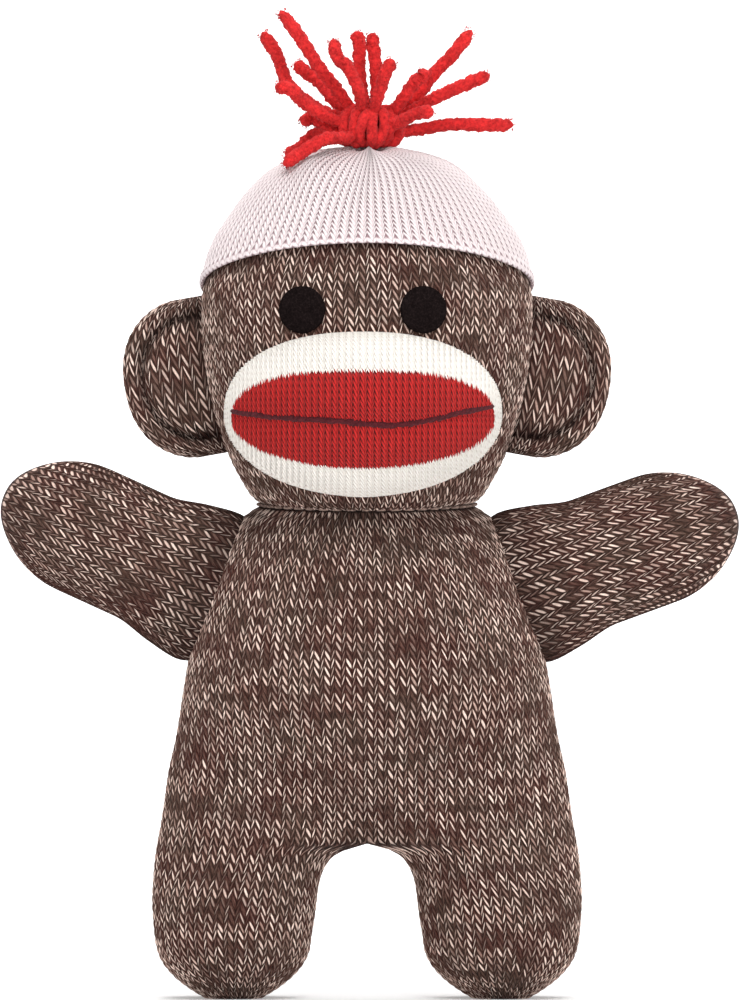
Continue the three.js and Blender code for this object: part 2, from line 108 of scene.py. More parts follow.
def curve_through(points):
    """A function that passes smoothly through a few given (place, value) points."""
    places, values = (np.array(column, float) for column in zip(*points))
    steps = np.diff(places)
    slopes = np.diff(values) / steps
    tangents = np.zeros_like(values)
    tangents[0], tangents[-1] = slopes[0], slopes[-1]
    for i in range(1, len(values) - 1):
        if slopes[i - 1] * slopes[i] > 0:
            tangents[i] = 2 * slopes[i - 1] * slopes[i] / (slopes[i - 1] + slopes[i])

    def value(x):
        x = np.clip(np.asarray(x, float), places[0], places[-1])
        i = np.clip(np.searchsorted(places, x, side="right") - 1, 0, len(steps) - 1)
        t = (x - places[i]) / steps[i]
        return (
            (2 * t**3 - 3 * t**2 + 1) * values[i]
            + (t**3 - 2 * t**2 + t) * steps[i] * tangents[i]
            + (3 * t**2 - 2 * t**3) * values[i + 1]
            + (t**3 - t**2) * steps[i] * tangents[i + 1]
        )

    return value


def unit(vector):
    return vector / np.linalg.norm(vector)


def path_lengths(path):
    """The distance along a path at each of its points."""
    return np.concatenate([[0], np.cumsum(np.linalg.norm(np.diff(path, axis=0), axis=1))])


def outline_lengths(across, up):
    """The distance along a flat outline at each of its points."""
    return np.concatenate([[0], np.cumsum(np.hypot(np.diff(across), np.diff(up)))])


def even_places(places, values, count):
    """Places that are evenly spread along the line that the values draw over them."""
    along = outline_lengths(places, values)
    return np.interp(np.linspace(0, along[-1], count), along, places)


def evenly(curve, count, closed):
    """Points at equal distances along a finely sampled curve."""
    if closed:
        curve = np.vstack([curve, curve[:1]])
    along = path_lengths(curve)
    wanted = np.linspace(0, along[-1], count + 1 if closed else count)
    even = np.column_stack([np.interp(wanted, along, curve[:, k]) for k in range(3)])
    return even[:-1] if closed else even


def ring_faces(rings, sides):
    """The quads between neighbouring rings of points."""
    faces = []
    for ring in range(rings - 1):
        for k in range(sides):
            a, b = ring * sides + k, ring * sides + (k + 1) % sides
            faces.append([a, b, b + sides, a + sides])
    return faces


def ring_stitches(heights, sides):
    """The same quads' places in the stitch map: round the rings, and at each ring's height."""
    stitches = []
    for low, high in zip(heights, heights[1:]):
        for k in range(sides):
            left, right = k / sides, (k + 1) / sides
            stitches += [[left, low], [right, low], [right, high], [left, high]]
    return stitches


def mesh_piece(name, points, faces, stitches=None, material=None):
    """A smooth mesh. stitches holds each face corner's place in the knit, in wales and courses."""
    mesh = bpy.data.meshes.new(name)
    mesh.from_pydata(points, [], faces)
    mesh.polygons.foreach_set("use_smooth", np.ones(len(mesh.polygons), bool))
    if stitches is not None:
        layer = mesh.uv_layers.new(name="stitch")
        layer.data.foreach_set("uv", np.asarray(stitches, np.float32).ravel())
    mesh.update()
    piece = bpy.data.objects.new(name, mesh)
    bpy.context.scene.collection.objects.link(piece)
    if material is not None:
        mesh.materials.append(material)
    return piece


def points_of(piece):
    points = np.empty(len(piece.data.vertices) * 3)
    piece.data.vertices.foreach_get("co", points)
    return points.reshape(-1, 3)


def add_painted_shade(piece, depth):
    """Tells the knit's material how much painted shade darkens each point, from 0 to 1: how deep it lies
    in a crease, where shade falls.
    """
    layer = piece.data.attributes.new("crease", "FLOAT", "POINT")
    layer.data.foreach_set("value", np.asarray(depth, np.float32))


# ---- Knitting ----

ACROSS = 4  # mesh columns in one wale: its edge, a leg, its middle, the other leg
ALONG = 3  # mesh rows in one course
SLANT = 1.5  # courses that a leg of the V climbs from the wale's middle to its edge
MIDDLE = 0.66  # where the V's point is across a wale: the yarn's twist leans one leg more
LEG_ROUNDING = 0.8  # the power that shapes a leg's rise: below 1 its top is fuller
LEG_END_DROP = 0.8  # how much lower a leg is at its ends than at its middle, as a share
EDGE_MARGIN = 0.01  # keeps a fade of no length from dividing by nothing
BROWN_RELIEF = 0.3 * MM  # how far a leg of the brown knit stands up
COLUMN_SHIFT = np.array([0, MIDDLE / 2 - 0.25, MIDDLE - 0.5, (MIDDLE + 1) / 2 - 0.75]) * ACROSS


def normals_of(grid, before, after):
    """The outward direction at each point. before and after are the columns past the two edges."""
    wide = np.concatenate([before[:, None], grid, after[:, None]], axis=1)
    normal = np.cross(wide[:, 2:] - wide[:, :-2], np.gradient(grid, axis=0))
    return normal / np.maximum(np.linalg.norm(normal, axis=2, keepdims=True), 1e-12)


def stitched(grid, relief, before=None, after=None, fade=(1.5, 1.5), calm=1.0):
    """Moves a plain grid's points so that its rows follow the V stitches, and lifts each leg.
    The fades are the courses at the two ends over which the stitches flatten out, and calm is the
    share of the stitches' shape that is left at each point."""
    closed = before is None
    if closed:
        before, after = grid[:, -1], grid[:, 0]
    rows, columns = grid.shape[:2]
    normal = normals_of(grid, before, after)
    place = np.arange(columns)
    from_middle = np.abs(2 * (place / ACROSS % 1) - 1)
    row = np.arange(rows) / ALONG
    last = (rows - 1) / ALONG
    keep = smooth_step(row, -EDGE_MARGIN, fade[0]) * smooth_step(last - row, -EDGE_MARGIN, fade[1])
    keep = keep[:, None] * calm
    sheared = row[:, None] + keep * SLANT * (from_middle - 0.5)[None, :]
    sheared = np.clip(sheared * ALONG, 0, rows - 1)
    low = np.minimum(sheared.astype(int), rows - 2)
    part = (sheared - low)[..., None]
    shift = COLUMN_SHIFT[place % ACROSS][None, :, None]
    here = place[None, :]
    beside = (place + 1) % columns if closed else np.minimum(place + 1, columns - 1)
    beside = beside[None, :]

    def sampled(values):
        near = values[low, here] * (1 - part) + values[low + 1, here] * part
        far = values[low, beside] * (1 - part) + values[low + 1, beside] * part
        return near * (1 - shift) + far * shift

    in_leg = np.sin(math.pi * (row % 1))[:, None] ** LEG_ROUNDING
    leg_end = 1 - LEG_END_DROP * np.abs(2 * from_middle - 1)[None, :] ** 2
    height = relief * in_leg * leg_end * keep
    return sampled(grid) + sampled(normal) * height[..., None]


def fabric_faces(rows, columns, closed, first_row=0, first_wale=0):
    """The quads of a grid, and the wale and course of each of their corners."""
    left = np.arange(columns if closed else columns - 1)
    right = (left + 1) % columns
    base = np.arange(rows - 1)[:, None] * columns
    faces = np.stack([base + left, base + right, base + right + columns, base + left + columns], axis=-1)
    place = np.arange(columns + 1) / ACROSS
    from_middle = np.abs(2 * (place % 1) - 1)
    row = (np.arange(rows) + first_row) / ALONG
    course = row[:, None] + SLANT * (from_middle - 0.5)[None, :]
    u = np.stack([left, left + 1, left + 1, left], axis=-1) / ACROSS + first_wale
    u = np.broadcast_to(u[None], (rows - 1, len(left), 4))
    v = np.stack(
        [course[:-1, left], course[:-1, left + 1], course[1:, left + 1], course[1:, left]], axis=-1
    )
    return faces.reshape(-1, 4), np.stack([u, v], axis=-1).reshape(-1, 4, 2)


def fabric(name, points, material, caps=(), first_row=0, first_wale=0):
    """A closed tube of knitting as a piece. A capped end is closed with a fan of triangles."""
    rows, columns = points.shape[:2]
    faces, stitches = fabric_faces(rows, columns, True, first_row, first_wale)
    faces, stitches = faces.tolist(), stitches.reshape(-1, 2).tolist()
    middles = []
    for end in caps:
        ring = points[0] if end == "first" else points[-1]
        first = 0 if end == "first" else (rows - 1) * columns
        middle = rows * columns + len(middles)
        middles.append(ring.mean(axis=0))
        for k in range(columns):
            a, b = first + k, first + (k + 1) % columns
            faces.append([b, a, middle] if end == "first" else [a, b, middle])
            stitches += [[k / ACROSS, 0.5]] * 3
    flat = points.reshape(-1, 3)
    if middles:
        flat = np.vstack([flat, middles])
    return mesh_piece(name, flat.tolist(), faces, stitches, material)


def knitted_tube(name, surface, wales, courses, relief, material, caps=(), fade=(1.5, 1.5)):
    """surface(row shares, columns) gives a closed tube's points, row by row."""
    grid = surface(np.linspace(0, 1, courses * ALONG + 1), wales * ACROSS)
    return fabric(name, stitched(grid, relief, fade=fade), material, caps)


# ---- Materials ----


# A Mix node's sockets, when it mixes colours.
MIX_FACTOR, MIX_A, MIX_B, MIX_RESULT = 0, 6, 7, 2


class Nodes:
    """Short names for building a shader."""

    def __init__(self, name, roughness, sheen, specular=0.1):
        self.material = bpy.data.materials.new(name)
        self.material.use_nodes = True
        self.tree = self.material.node_tree
        self.shader = self.tree.nodes["Principled BSDF"]
        self.shader.inputs["Roughness"].default_value = roughness
        self.shader.inputs["Sheen Weight"].default_value = sheen
        self.shader.inputs["Sheen Roughness"].default_value = 0.6
        self.shader.inputs["Specular IOR Level"].default_value = specular

    def set(self, socket, value):
        if hasattr(value, "node"):
            self.tree.links.new(value, socket)
        elif value is not None:
            socket.default_value = value

    def filled(self, node, values):
        """Fills a node's first inputs, and gives its first output."""
        for socket, value in zip(node.inputs, values):
            self.set(socket, value)
        return node.outputs[0]

    def math(self, operation, *values):
        node = self.tree.nodes.new("ShaderNodeMath")
        node.operation = operation
        return self.filled(node, values)

    def times(self, a, b):
        return self.math("MULTIPLY", a, b)

    def plus(self, a, b):
        return self.math("ADD", a, b)

    def minus(self, a, b):
        return self.math("SUBTRACT", a, b)

    def times_plus(self, value, by, more):
        return self.math("MULTIPLY_ADD", value, by, more)

    def off_half(self, value):
        """0 where a value is one half, and 1 where it is 0 or 1."""
        return self.math("ABSOLUTE", self.times_plus(value, 2.0, -1.0))

    def ramp(self, value, low, high, to_low=0.0, to_high=1.0):
        node = self.tree.nodes.new("ShaderNodeMapRange")
        node.interpolation_type = "SMOOTHSTEP"
        return self.filled(node, (value, low, high, to_low, to_high))

    def vector(self, x, y, z=0.0):
        return self.filled(self.tree.nodes.new("ShaderNodeCombineXYZ"), (x, y, z))

    def stitch(self):
        node = self.tree.nodes.new("ShaderNodeUVMap")
        node.uv_map = "stitch"
        split = self.tree.nodes.new("ShaderNodeSeparateXYZ")
        self.tree.links.new(node.outputs[0], split.inputs[0])
        return split.outputs[0], split.outputs[1]

    def place(self):
        return self.tree.nodes.new("ShaderNodeTexCoord").outputs["Object"]

    def noise(self, where, scale, detail=2.0, roughness=0.5):
        node = self.tree.nodes.new("ShaderNodeTexNoise")
        self.set(node.inputs["Vector"], where)
        node.inputs["Scale"].default_value = scale
        node.inputs["Detail"].default_value = detail
        node.inputs["Roughness"].default_value = roughness
        return node.outputs["Fac"]

    def chance(self, where):
        node = self.tree.nodes.new("ShaderNodeTexWhiteNoise")
        node.noise_dimensions = "3D"
        self.set(node.inputs["Vector"], where)
        return node.outputs["Value"]

    def mix(self, factor, a, b, blend="MIX"):
        node = self.tree.nodes.new("ShaderNodeMix")
        node.data_type = "RGBA"
        node.blend_type = blend
        self.set(node.inputs[MIX_FACTOR], factor)
        self.set(node.inputs[MIX_A], a if hasattr(a, "node") else (*a, 1))
        self.set(node.inputs[MIX_B], b if hasattr(b, "node") else (*b, 1))
        return node.outputs[MIX_RESULT]

    def shade(self, colour, factor):
        """A colour made darker or lighter by a factor."""
        grey = self.filled(self.tree.nodes.new("ShaderNodeCombineColor"), (factor, factor, factor))
        return self.mix(1.0, colour, grey, "MULTIPLY")

    def finish(self, colour, height, depth, strength=1.0):
        self.set(self.shader.inputs["Base Color"], colour)
        bump = self.tree.nodes.new("ShaderNodeBump")
        bump.inputs["Strength"].default_value = strength
        bump.inputs["Distance"].default_value = depth
        self.set(bump.inputs["Height"], height)
        self.tree.links.new(bump.outputs[0], self.shader.inputs["Normal"])
        return self.material


def rgb(red, green, blue):
    """A colour as it is seen, turned into the renderer's linear values."""
    def linear(part):
        part /= 255
        return part / 12.92 if part <= 0.04045 else ((part + 0.055) / 1.055) ** 2.4
    return (linear(red), linear(green), linear(blue))


def knit_legs(n):
    """Where a point is in the knit, how far it is across and along its leg of the V, and which leg
    of which course that is."""
    u, v = n.stitch()
    from_middle = n.off_half(n.math("FRACT", u))
    sheared = n.times_plus(n.minus(from_middle, 0.5), -SLANT, v)
    phase = n.math("FRACT", sheared)
    course = n.math("FLOOR", sheared)
    leg = n.math("FLOOR", n.times(u, 2.0))
    return u, sheared, phase, from_middle, leg, course


def leg_height(n, phase, from_middle):
    """A leg's rounded top: 1 along its middle, falling to the gaps at its sides and ends."""
    across = n.off_half(phase)
    along = n.off_half(from_middle)
    under = n.minus(1.0, n.math("POWER", across, 2.0))
    round_part = n.math("SQRT", n.math("MAXIMUM", under, 0.0))
    end_part = n.times_plus(n.math("POWER", along, 3.0), -0.65, 1.0)
    return n.times(round_part, end_part)


def leg_fibres(n, sheared, leg, from_middle, fineness):
    """Fine streaks that run along each leg."""
    where = n.times_plus(leg, 7.3, n.times(from_middle, 1.6))
    return n.noise(n.vector(n.times(sheared, fineness), where), 1.0, 2.0, 0.7)


def marl_knit():
    """Brown sock yarn twisted with one beige ply, which shows as a thin dash on each leg."""
    n = Nodes("brown_marl_knit", 0.95, 0.03)
    u, sheared, phase, from_middle, leg, course = knit_legs(n)
    height = leg_height(n, phase, from_middle)
    luck = n.chance(n.vector(leg, course, 3.0))
    other_luck = n.chance(n.vector(leg, course, 8.0))
    third_luck = n.chance(n.vector(leg, course, 13.0))
    # Each leg's dash leans, drifts sideways and is wide or thin by chance, and narrows to its ends.
    lean = n.times(n.minus(from_middle, 0.5), n.times_plus(third_luck, 0.5, -0.1))
    drift = n.times(n.minus(other_luck, 0.5), 0.22)
    off_ply = n.off_half(n.plus(n.plus(phase, lean), drift))
    along = n.off_half(from_middle)
    widest = n.times_plus(third_luck, 0.18, 0.34)
    width = n.times_plus(n.math("POWER", along, 2.0), -0.34, widest)
    dash = n.ramp(n.minus(off_ply, width), 0.15, -0.15)
    dash = n.times(dash, n.ramp(along, 0.9, 0.6))
    # Some legs hide it, and whole patches of legs show less of it.
    patches = n.noise(n.vector(n.times(u, 0.13), n.times(course, 0.42)), 1.0, 3.0, 0.6)
    shows = n.plus(n.times(luck, 0.6), n.ramp(patches, 0.34, 0.62, -0.16, 0.42))
    dash = n.times(dash, n.ramp(shows, 0.02, 0.75, 0.06, 1.0))
    fibres = leg_fibres(n, sheared, leg, from_middle, 3.4)
    tint = n.noise(n.place(), 110.0, 3.0, 0.6)
    brown = n.mix(n.ramp(tint, 0.35, 0.65), rgb(80, 42, 35), rgb(80, 58, 48))
    brown = n.mix(n.ramp(fibres, 0.4, 0.72), n.shade(brown, 0.6), n.mix(0.35, brown, rgb(140, 106, 96)))
    beige = n.mix(luck, rgb(190, 152, 138), rgb(252, 226, 212))
    colour = n.mix(dash, brown, beige)
    fine = n.noise(n.place(), 2600.0, 2.0, 0.7)
    grain = n.ramp(fine, 0.2, 0.8, 0.8, 1.18)
    # Painted shade: the colour darkens towards the gaps between legs, where the relief is low, and a
    # fine grain varies it.
    colour = n.shade(colour, n.times(n.ramp(height, 0.05, 0.75, 0.32, 1.04), grain))
    # Painted shade: the colour darkens where the piece's crease attribute marks creases and joints that
    # lie in shade.
    crease = n.tree.nodes.new("ShaderNodeAttribute")
    crease.attribute_name = "crease"
    colour = n.shade(colour, n.times_plus(crease.outputs["Fac"], -0.6, 1.0))
    raised = n.plus(height, n.times(dash, 0.25))
    raised = n.plus(raised, n.times(fibres, 0.4))
    return n.finish(colour, n.times_plus(fine, 0.3, raised), 0.3 * MM)


def plain_knit(name, pale, deep, hole_shadow, hole_size, hole_share, rib_shade=0.0):
    """A one-colour knit with painted shade: pale along the top of each leg, deeper between legs, where
    shade falls, and a small painted shadow in the hole where the legs of two wales part."""
    n = Nodes(name, 0.9, 0.06)
    _, sheared, phase, from_middle, leg, course = knit_legs(n)
    height = leg_height(n, phase, from_middle)
    luck = n.chance(n.vector(leg, course, 5.0))
    fibres = leg_fibres(n, sheared, leg, from_middle, 3.0)
    fine = n.noise(n.place(), 3000.0, 2.0, 0.7)
    broad = n.noise(n.place(), 60.0, 2.0, 0.5)
    # Painted shade: deep between legs and pale on their tops. deep also gives some legs a darker tone at
    # random.
    colour = n.mix(n.ramp(height, 0.15, 0.85), deep, pale)
    colour = n.mix(n.times(luck, 0.15), colour, deep)
    off_edge = n.math("POWER", n.minus(1.0, from_middle), 2.0)
    off_gap = n.minus(0.5, n.math("ABSOLUTE", n.minus(phase, 0.5)))
    off_gap = n.math("POWER", n.times(off_gap, 1.6), 2.0)
    off_hole = n.math("SQRT", n.plus(off_edge, off_gap))
    in_hole = n.ramp(off_hole, hole_size, hole_size * 0.3, 0.0, hole_share)
    # Painted shadow: the hole between stitches takes a dark colour.
    colour = n.mix(in_hole, colour, hole_shadow)
    # Painted shade along the wales' edges, towards the hole's dark colour.
    colour = n.mix(n.ramp(from_middle, 0.35, 0.0, 0.0, rib_shade), colour, hole_shadow)
    shading = n.times(n.ramp(fine, 0.2, 0.8, 0.95, 1.04), n.ramp(broad, 0.3, 0.7, 0.97, 1.02))
    colour = n.shade(colour, n.times(shading, n.ramp(fibres, 0.3, 0.7, 0.96, 1.02)))
    raised = n.minus(n.times_plus(fine, 0.3, height), in_hole)
    return n.finish(colour, raised, 0.22 * MM)


def felt(name, dark, pale):
    n = Nodes(name, 1.0, 0.0, 0.0)
    fibre = n.noise(n.place(), 2400.0, 4.0, 0.75)
    lint = n.noise(n.place(), 700.0, 2.0, 0.6)
    colour = n.mix(n.ramp(fibre, 0.4, 0.75), dark, pale)
    colour = n.shade(colour, n.ramp(lint, 0.3, 0.7, 0.85, 1.15))
    return n.finish(colour, fibre, 0.15 * MM)


PLIES = 3  # strands twisted together in a yarn


def yarn(name, pale, deep, twists):
    """Soft yarn. Its stitch map runs round the strand in u and along it, in twists, in v."""
    n = Nodes(name, 0.95, 0.05)
    u, v = n.stitch()
    groove = n.off_half(n.math("FRACT", n.plus(n.times(u, PLIES), v)))
    fibre = n.noise(n.place(), 1500.0, 3.0, 0.75)
    patch = n.noise(n.place(), 380.0, 2.0, 0.6)
    # Painted shade: the grooves between plies darken by a share of twists. deep is also the loose
    # fibres' darker tone.
    colour = n.mix(n.ramp(groove, 1.0, 0.55, 1.0 - twists, 1.0), deep, pale)
    colour = n.mix(n.ramp(fibre, 0.38, 0.72, 0.0, 0.75), colour, deep)
    colour = n.shade(colour, n.ramp(patch, 0.3, 0.7, 0.86, 1.12))
    raised = n.times_plus(groove, -twists, fibre)
    return n.finish(colour, raised, 0.4 * MM)


STAGE_RADIUS = 6.0


def sweep_paper():
    """The studio's white sweep. It glows a little near the toy, and more further off."""
    n = Nodes("pale_floor", 0.9, 0.0)
    grain = n.noise(n.place(), 40.0, 2.0, 0.5)
    colour = n.mix(n.ramp(grain, 0.3, 0.7), rgb(232, 232, 232), rgb(236, 236, 236))
    away = n.tree.nodes.new("ShaderNodeVectorMath")
    away.operation = "LENGTH"
    n.set(away.inputs[0], n.place())
    glow = n.ramp(away.outputs["Value"], 0.08 * STAGE_RADIUS, 0.28 * STAGE_RADIUS, 0.25, 0.95)
    n.shader.inputs["Emission Color"].default_value = (1, 1, 1, 1)
    n.set(n.shader.inputs["Emission Strength"], glow)
    return n.finish(colour, grain, 0.02 * MM)


BROWN = marl_knit()
# Each plain knit's second colour is the painted shade between legs, also used for a random darker tone,
# and its third is the painted shadow in its holes.
WHITE = plain_knit(
    "white_hat_knit", rgb(244, 232, 233), rgb(226, 206, 208), rgb(160, 126, 132), 0.62, 0.9
)
CREAM = plain_knit(
    "cream_knit", rgb(255, 250, 243), rgb(248, 240, 230), rgb(214, 198, 186), 0.45, 0.4, 0.03
)
RED = plain_knit("red_knit", rgb(204, 44, 42), rgb(136, 18, 20), rgb(72, 6, 8), 0.7, 0.8)
BLACK = felt("black_felt", rgb(20, 15, 15), rgb(38, 30, 30))
# Each yarn's second colour is painted shade in the grooves between its plies, and also the darker tone
# of its fibres.
YARN = yarn("red_yarn", rgb(222, 48, 48), rgb(154, 20, 24), 0.2)
MOUTH = yarn("dark_yarn", rgb(92, 34, 40), rgb(56, 16, 22), 0.3)
THREAD = yarn("pale_thread", rgb(176, 150, 138), rgb(112, 88, 80), 0.5)

# ---- Body: torso and legs ----

# Half widths of the outline at shares of the neck's height, as shares of the legs' outside.
BODY_OUTSIDE = curve_through([
    (0.1, 0.995), (0.2, 1.012), (0.28, 1.0), (0.365, 0.967), (0.463, 0.934), (0.528, 0.9),
    (0.65, 0.855), (0.73, 0.82), (0.81, 0.762), (0.897, 0.69), (0.94, 0.64), (0.975, 0.582),
    (1.0, 0.5),
])
# Depth of the torso's middle, as shares of its largest half depth.
BODY_DEPTH = curve_through([
    (0.31, 0.6), (0.4, 0.74), (0.5, 0.88), (0.6, 0.97), (0.68, 1.0), (0.78, 0.97), (0.88, 0.86),
    (0.95, 0.74), (1.0, 0.62),
])
BODY_HALF_WIDTH = LEG_OUTSIDE * 1.005  # the knit stands out a little past the CAD leg
CROTCH_Z = 0.313 * NECK_Z
ARCH_RADIUS = 10.5 * MM
FOOT_ROUND = 0.122 * NECK_Z  # the height over which the foot rounds in to its sole
SOLE_SHARE = 0.34  # the flat part of the sole, as a share of the foot's width
LEG_HALF_WIDTH = 15.6 * MM
HIP_SWELL = 0.12  # how much deeper a leg is at the hip than at the foot, as a share
WALE_CROWDING = 3.5  # how quickly the crowding of the wales beside the crotch fades outwards
WALES_SETTLE = 16 * MM  # the height over which the wales settle to an even spread
NECK_DIP = 1.8 * MM
TORSO_FILLS_OVER = 0.34 * NECK_Z  # the height over which two legs' sections become one
HALF_FRONT_WALES = 23  # wales across the front of one half of the body, and across its back
SOLE_STEPS, LEG_STEPS = 30, 400  # fine steps along a leg's outline, under the sole and above it


def outside_at(z):
    return BODY_HALF_WIDTH * BODY_OUTSIDE(z / NECK_Z)


def inside_at(z):
    """The inner edge of a leg: an arch at the crotch, then a slow spread towards the sole."""
    drop = np.clip((CROTCH_Z - z) / ARCH_RADIUS, 0, 1)
    arch = (ARCH_RADIUS - 0.9 * MM) * (1 - (1 - drop) ** 2.4) ** 0.42
    return arch + 1.8 * MM * np.clip((CROTCH_Z - z) / (CROTCH_Z - FOOT_ROUND), 0, 1) ** 2


def foot_share(z):
    """How much of the leg's thickness is left at a height near the sole."""
    drop = np.clip(1 - z / FOOT_ROUND, 0, 1)
    return SOLE_SHARE + (1 - SOLE_SHARE) * (1 - drop**2.2)


def oval_depth(x, low, high, depth):
    """The depth of a round section between two edges."""
    middle, half = (low + high) / 2, np.maximum((high - low) / 2, 1e-6)
    return depth * np.sqrt(np.clip(1 - np.abs((x - middle) / half) ** 2.1, 0, 1))


def leg_depth(z):
    """Half the leg's depth, which grows a little towards the hip."""
    return LEG_HALF_DEPTH * (1 + HIP_SWELL * smooth_step(z, FOOT_ROUND, CROTCH_Z))


def torso_depth_at(x, z):
    """Two legs' worth of depth at the crotch, filling out to one rounded body above it."""
    edge = outside_at(z)
    lobes = oval_depth(np.abs(x), 0, edge, leg_depth(z))
    whole = oval_depth(x, -edge, edge, TORSO_HALF_DEPTH * BODY_DEPTH(z / NECK_Z))
    rise = np.clip((z - CROTCH_Z) / TORSO_FILLS_OVER, 0, 1)
    middle = whole * np.sqrt(1 - (1 - rise) ** 2)
    return (middle**4 + (lobes * (1 - smooth_step(rise, 0, 1))) ** 4) ** 0.25


SECTION_STEPS = 240


def across_steps(low, high):
    """Places from one edge to the other, closer together towards the edges."""
    turn = np.linspace(0, math.pi, SECTION_STEPS)
    return (low + high) / 2 - (high - low) / 2 * np.cos(turn)


def crotch_places(count):
    """Where the wales are at the crotch: spread as if the body had one plain oval section."""
    edge = float(outside_at(CROTCH_Z))
    x = edge * np.sin(np.linspace(0, math.pi / 2, SECTION_STEPS))
    return even_places(x, oval_depth(x, -edge, edge, leg_depth(CROTCH_Z)), count)


def half_section(x, depth, z):
    """The right half of the body at one height: its front from the inside out, then its back."""
    heights = np.full_like(x, z)
    front = np.column_stack([x, MIDDLE_Y - depth, heights])
    back = np.column_stack([x, MIDDLE_Y + depth, heights])[::-1]
    return np.vstack([front, back[1:]])


def settled(points):
    """The neck dips a little in front, where the heavy head leans."""
    front = np.clip((MIDDLE_Y - points[..., 1]) / TORSO_HALF_DEPTH, 0, 1)
    near_neck = 1 - smooth_step(np.abs(points[..., 2] - NECK_Z), 0, 14 * MM)
    points = points.copy()
    points[..., 2] -= NECK_DIP * front * near_neck
    return points


def leg_row(z, share, count):
    """A leg's section. Just below the crotch its wales hang straight down from the body, crowded
    only towards the inside, and further down they spread evenly round the leg."""
    low, high = float(inside_at(z)), float(outside_at(z))
    middle, half = (low + high) / 2, (high - low) / 2 * share
    first, last = middle - half, middle + half
    depth = float(leg_depth(z)) * share
    x = across_steps(first, last)
    even = even_places(x, oval_depth(x, first, last, depth), count)
    hanging = crotch_places(count) / float(outside_at(CROTCH_Z))
    hanging = last * hanging + first * (1 - hanging) ** WALE_CROWDING
    spread = float(smooth_step(CROTCH_Z - z, 0, WALES_SETTLE))
    x = hanging + (even - hanging) * spread
    return half_section(x, oval_depth(x, first, last, depth), z)


def leg_rows(count):
    """Rows from the sole's middle out to its edge, round the foot and up to the crotch."""
    height = np.concatenate([np.zeros(SOLE_STEPS), np.linspace(0, CROTCH_Z, LEG_STEPS)])
    spread = np.concatenate([np.linspace(0.02, 1, SOLE_STEPS), np.ones(LEG_STEPS)])
    reach = LEG_HALF_WIDTH * foot_share(height) * spread
    along = outline_lengths(reach, height)
    courses = round(along[-1] / COURSE)
    rows = []
    for travelled in np.linspace(0, along[-1], courses * ALONG + 1):
        z = float(np.interp(travelled, along, height))
        share = float(foot_share(z)) * float(np.interp(travelled, along, spread))
        rows.append(leg_row(z, share, count))
    return rows


def torso_rows(count):
    """Rows from the crotch to the neck, where the wales settle to an even spread."""
    courses = round((NECK_Z - CROTCH_Z) / COURSE)
    hanging = crotch_places(count) / float(outside_at(CROTCH_Z))
    rows = []
    for z in np.linspace(CROTCH_Z, NECK_Z, courses * ALONG + 1)[1:]:
        x = float(outside_at(z)) * np.sin(np.linspace(0, math.pi / 2, SECTION_STEPS))
        even = even_places(x, torso_depth_at(x, z), count)
        spread = float(smooth_step(z - CROTCH_Z, 0, 2 * WALES_SETTLE))
        x = float(outside_at(z)) * hanging
        x = x + (even - x) * spread
        rows.append(half_section(x, torso_depth_at(x, z), z))
    return rows


def make_body():
    """One half of the body is knitted from the sole to the neck and mirrored. It is then parted at the
    crotch, along one row of stitches, into a torso and two legs."""
    in_front = HALF_FRONT_WALES * ACROSS + 1
    leg, torso = leg_rows(in_front), torso_rows(in_front)
    right = np.array(leg + torso)
    left = right[:, ::-1] * (-1, 1, 1)
    parting = len(leg) - 1
    halves = {}
    for name, grid in (("left", left), ("right", right)):
        before, after = grid[:, -2].copy(), grid[:, 1].copy()
        before[parting:] = grid[parting:, 1] * (-1, 1, 1)
        after[parting:] = grid[parting:, -2] * (-1, 1, 1)
        from_crotch = np.linalg.norm(grid - (0, MIDDLE_Y, CROTCH_Z), axis=2)
        calm = smooth_step(from_crotch, 1 * MM, 6 * MM)
        halves[name] = settled(stitched(grid, BROWN_RELIEF, before, after, (3.0, 0.8), calm))
    whole = np.concatenate([halves["left"][parting:, :-1], halves["right"][parting:, :-1]], axis=1)
    torso = fabric("torso_knit", whole, BROWN, ("last",), parting, 0)
    # Painted shadow under the head: the torso's knit darkens towards the neck.
    add_painted_shade(torso, 0.4 * smooth_step(points_of(torso)[:, 2], NECK_Z - 14 * MM, NECK_Z))
    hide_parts("torso_cover", "torso_filling")
    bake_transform(torso)
    for name, first_wale in (("left", 0), ("right", 2 * HALF_FRONT_WALES)):
        rows = halves[name][:parting + 1, :-1]
        cover = fabric(f"leg_{name}_knit", rows, BROWN, ("first",), 0, first_wale)
        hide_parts(f"leg_{name}_cover", f"leg_{name}_filling")
        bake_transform(cover)


# ---- Arms ----

ARM_LENGTH = (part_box("arm_right_cover")[1].x - SHOULDER[0]) / math.cos(ARM_RISE) - 0.6 * MM
ARM_FLATNESS = 0.75  # an arm's depth as a share of its height
ARM_MIDDLE_HEIGHT = size_of("arm_right_cover").y / 2 / ARM_FLATNESS
ARM_START = -0.3 * ARM_LENGTH  # inside the torso, where the arm's knit starts
ARM_TIP_START = 0.66 * ARM_LENGTH
ARM_SECTION = 0.8  # the flatness of the oval round which the wales are evenly spread
ARM_WALES, ARM_COURSES = 34, 36
# Half heights and depths at shares of the arm's length.
ARM_HALF_HEIGHT = curve_through([
    (-0.3, 0.5), (-0.12, 1.0), (0.02, 1.2), (0.16, 1.13), (0.34, 1.0), (0.6, 1.0), (0.8, 0.93),
    (1, 0.78),
])
ARM_DEPTH_SHARE = curve_through([(-0.3, 0.5), (0.0, 0.55), (0.25, 0.68), (0.5, 0.8), (1, 0.82)])
LEFT_ARM_LIFT = math.radians(4.5)  # the left arm is held a little higher than the right one


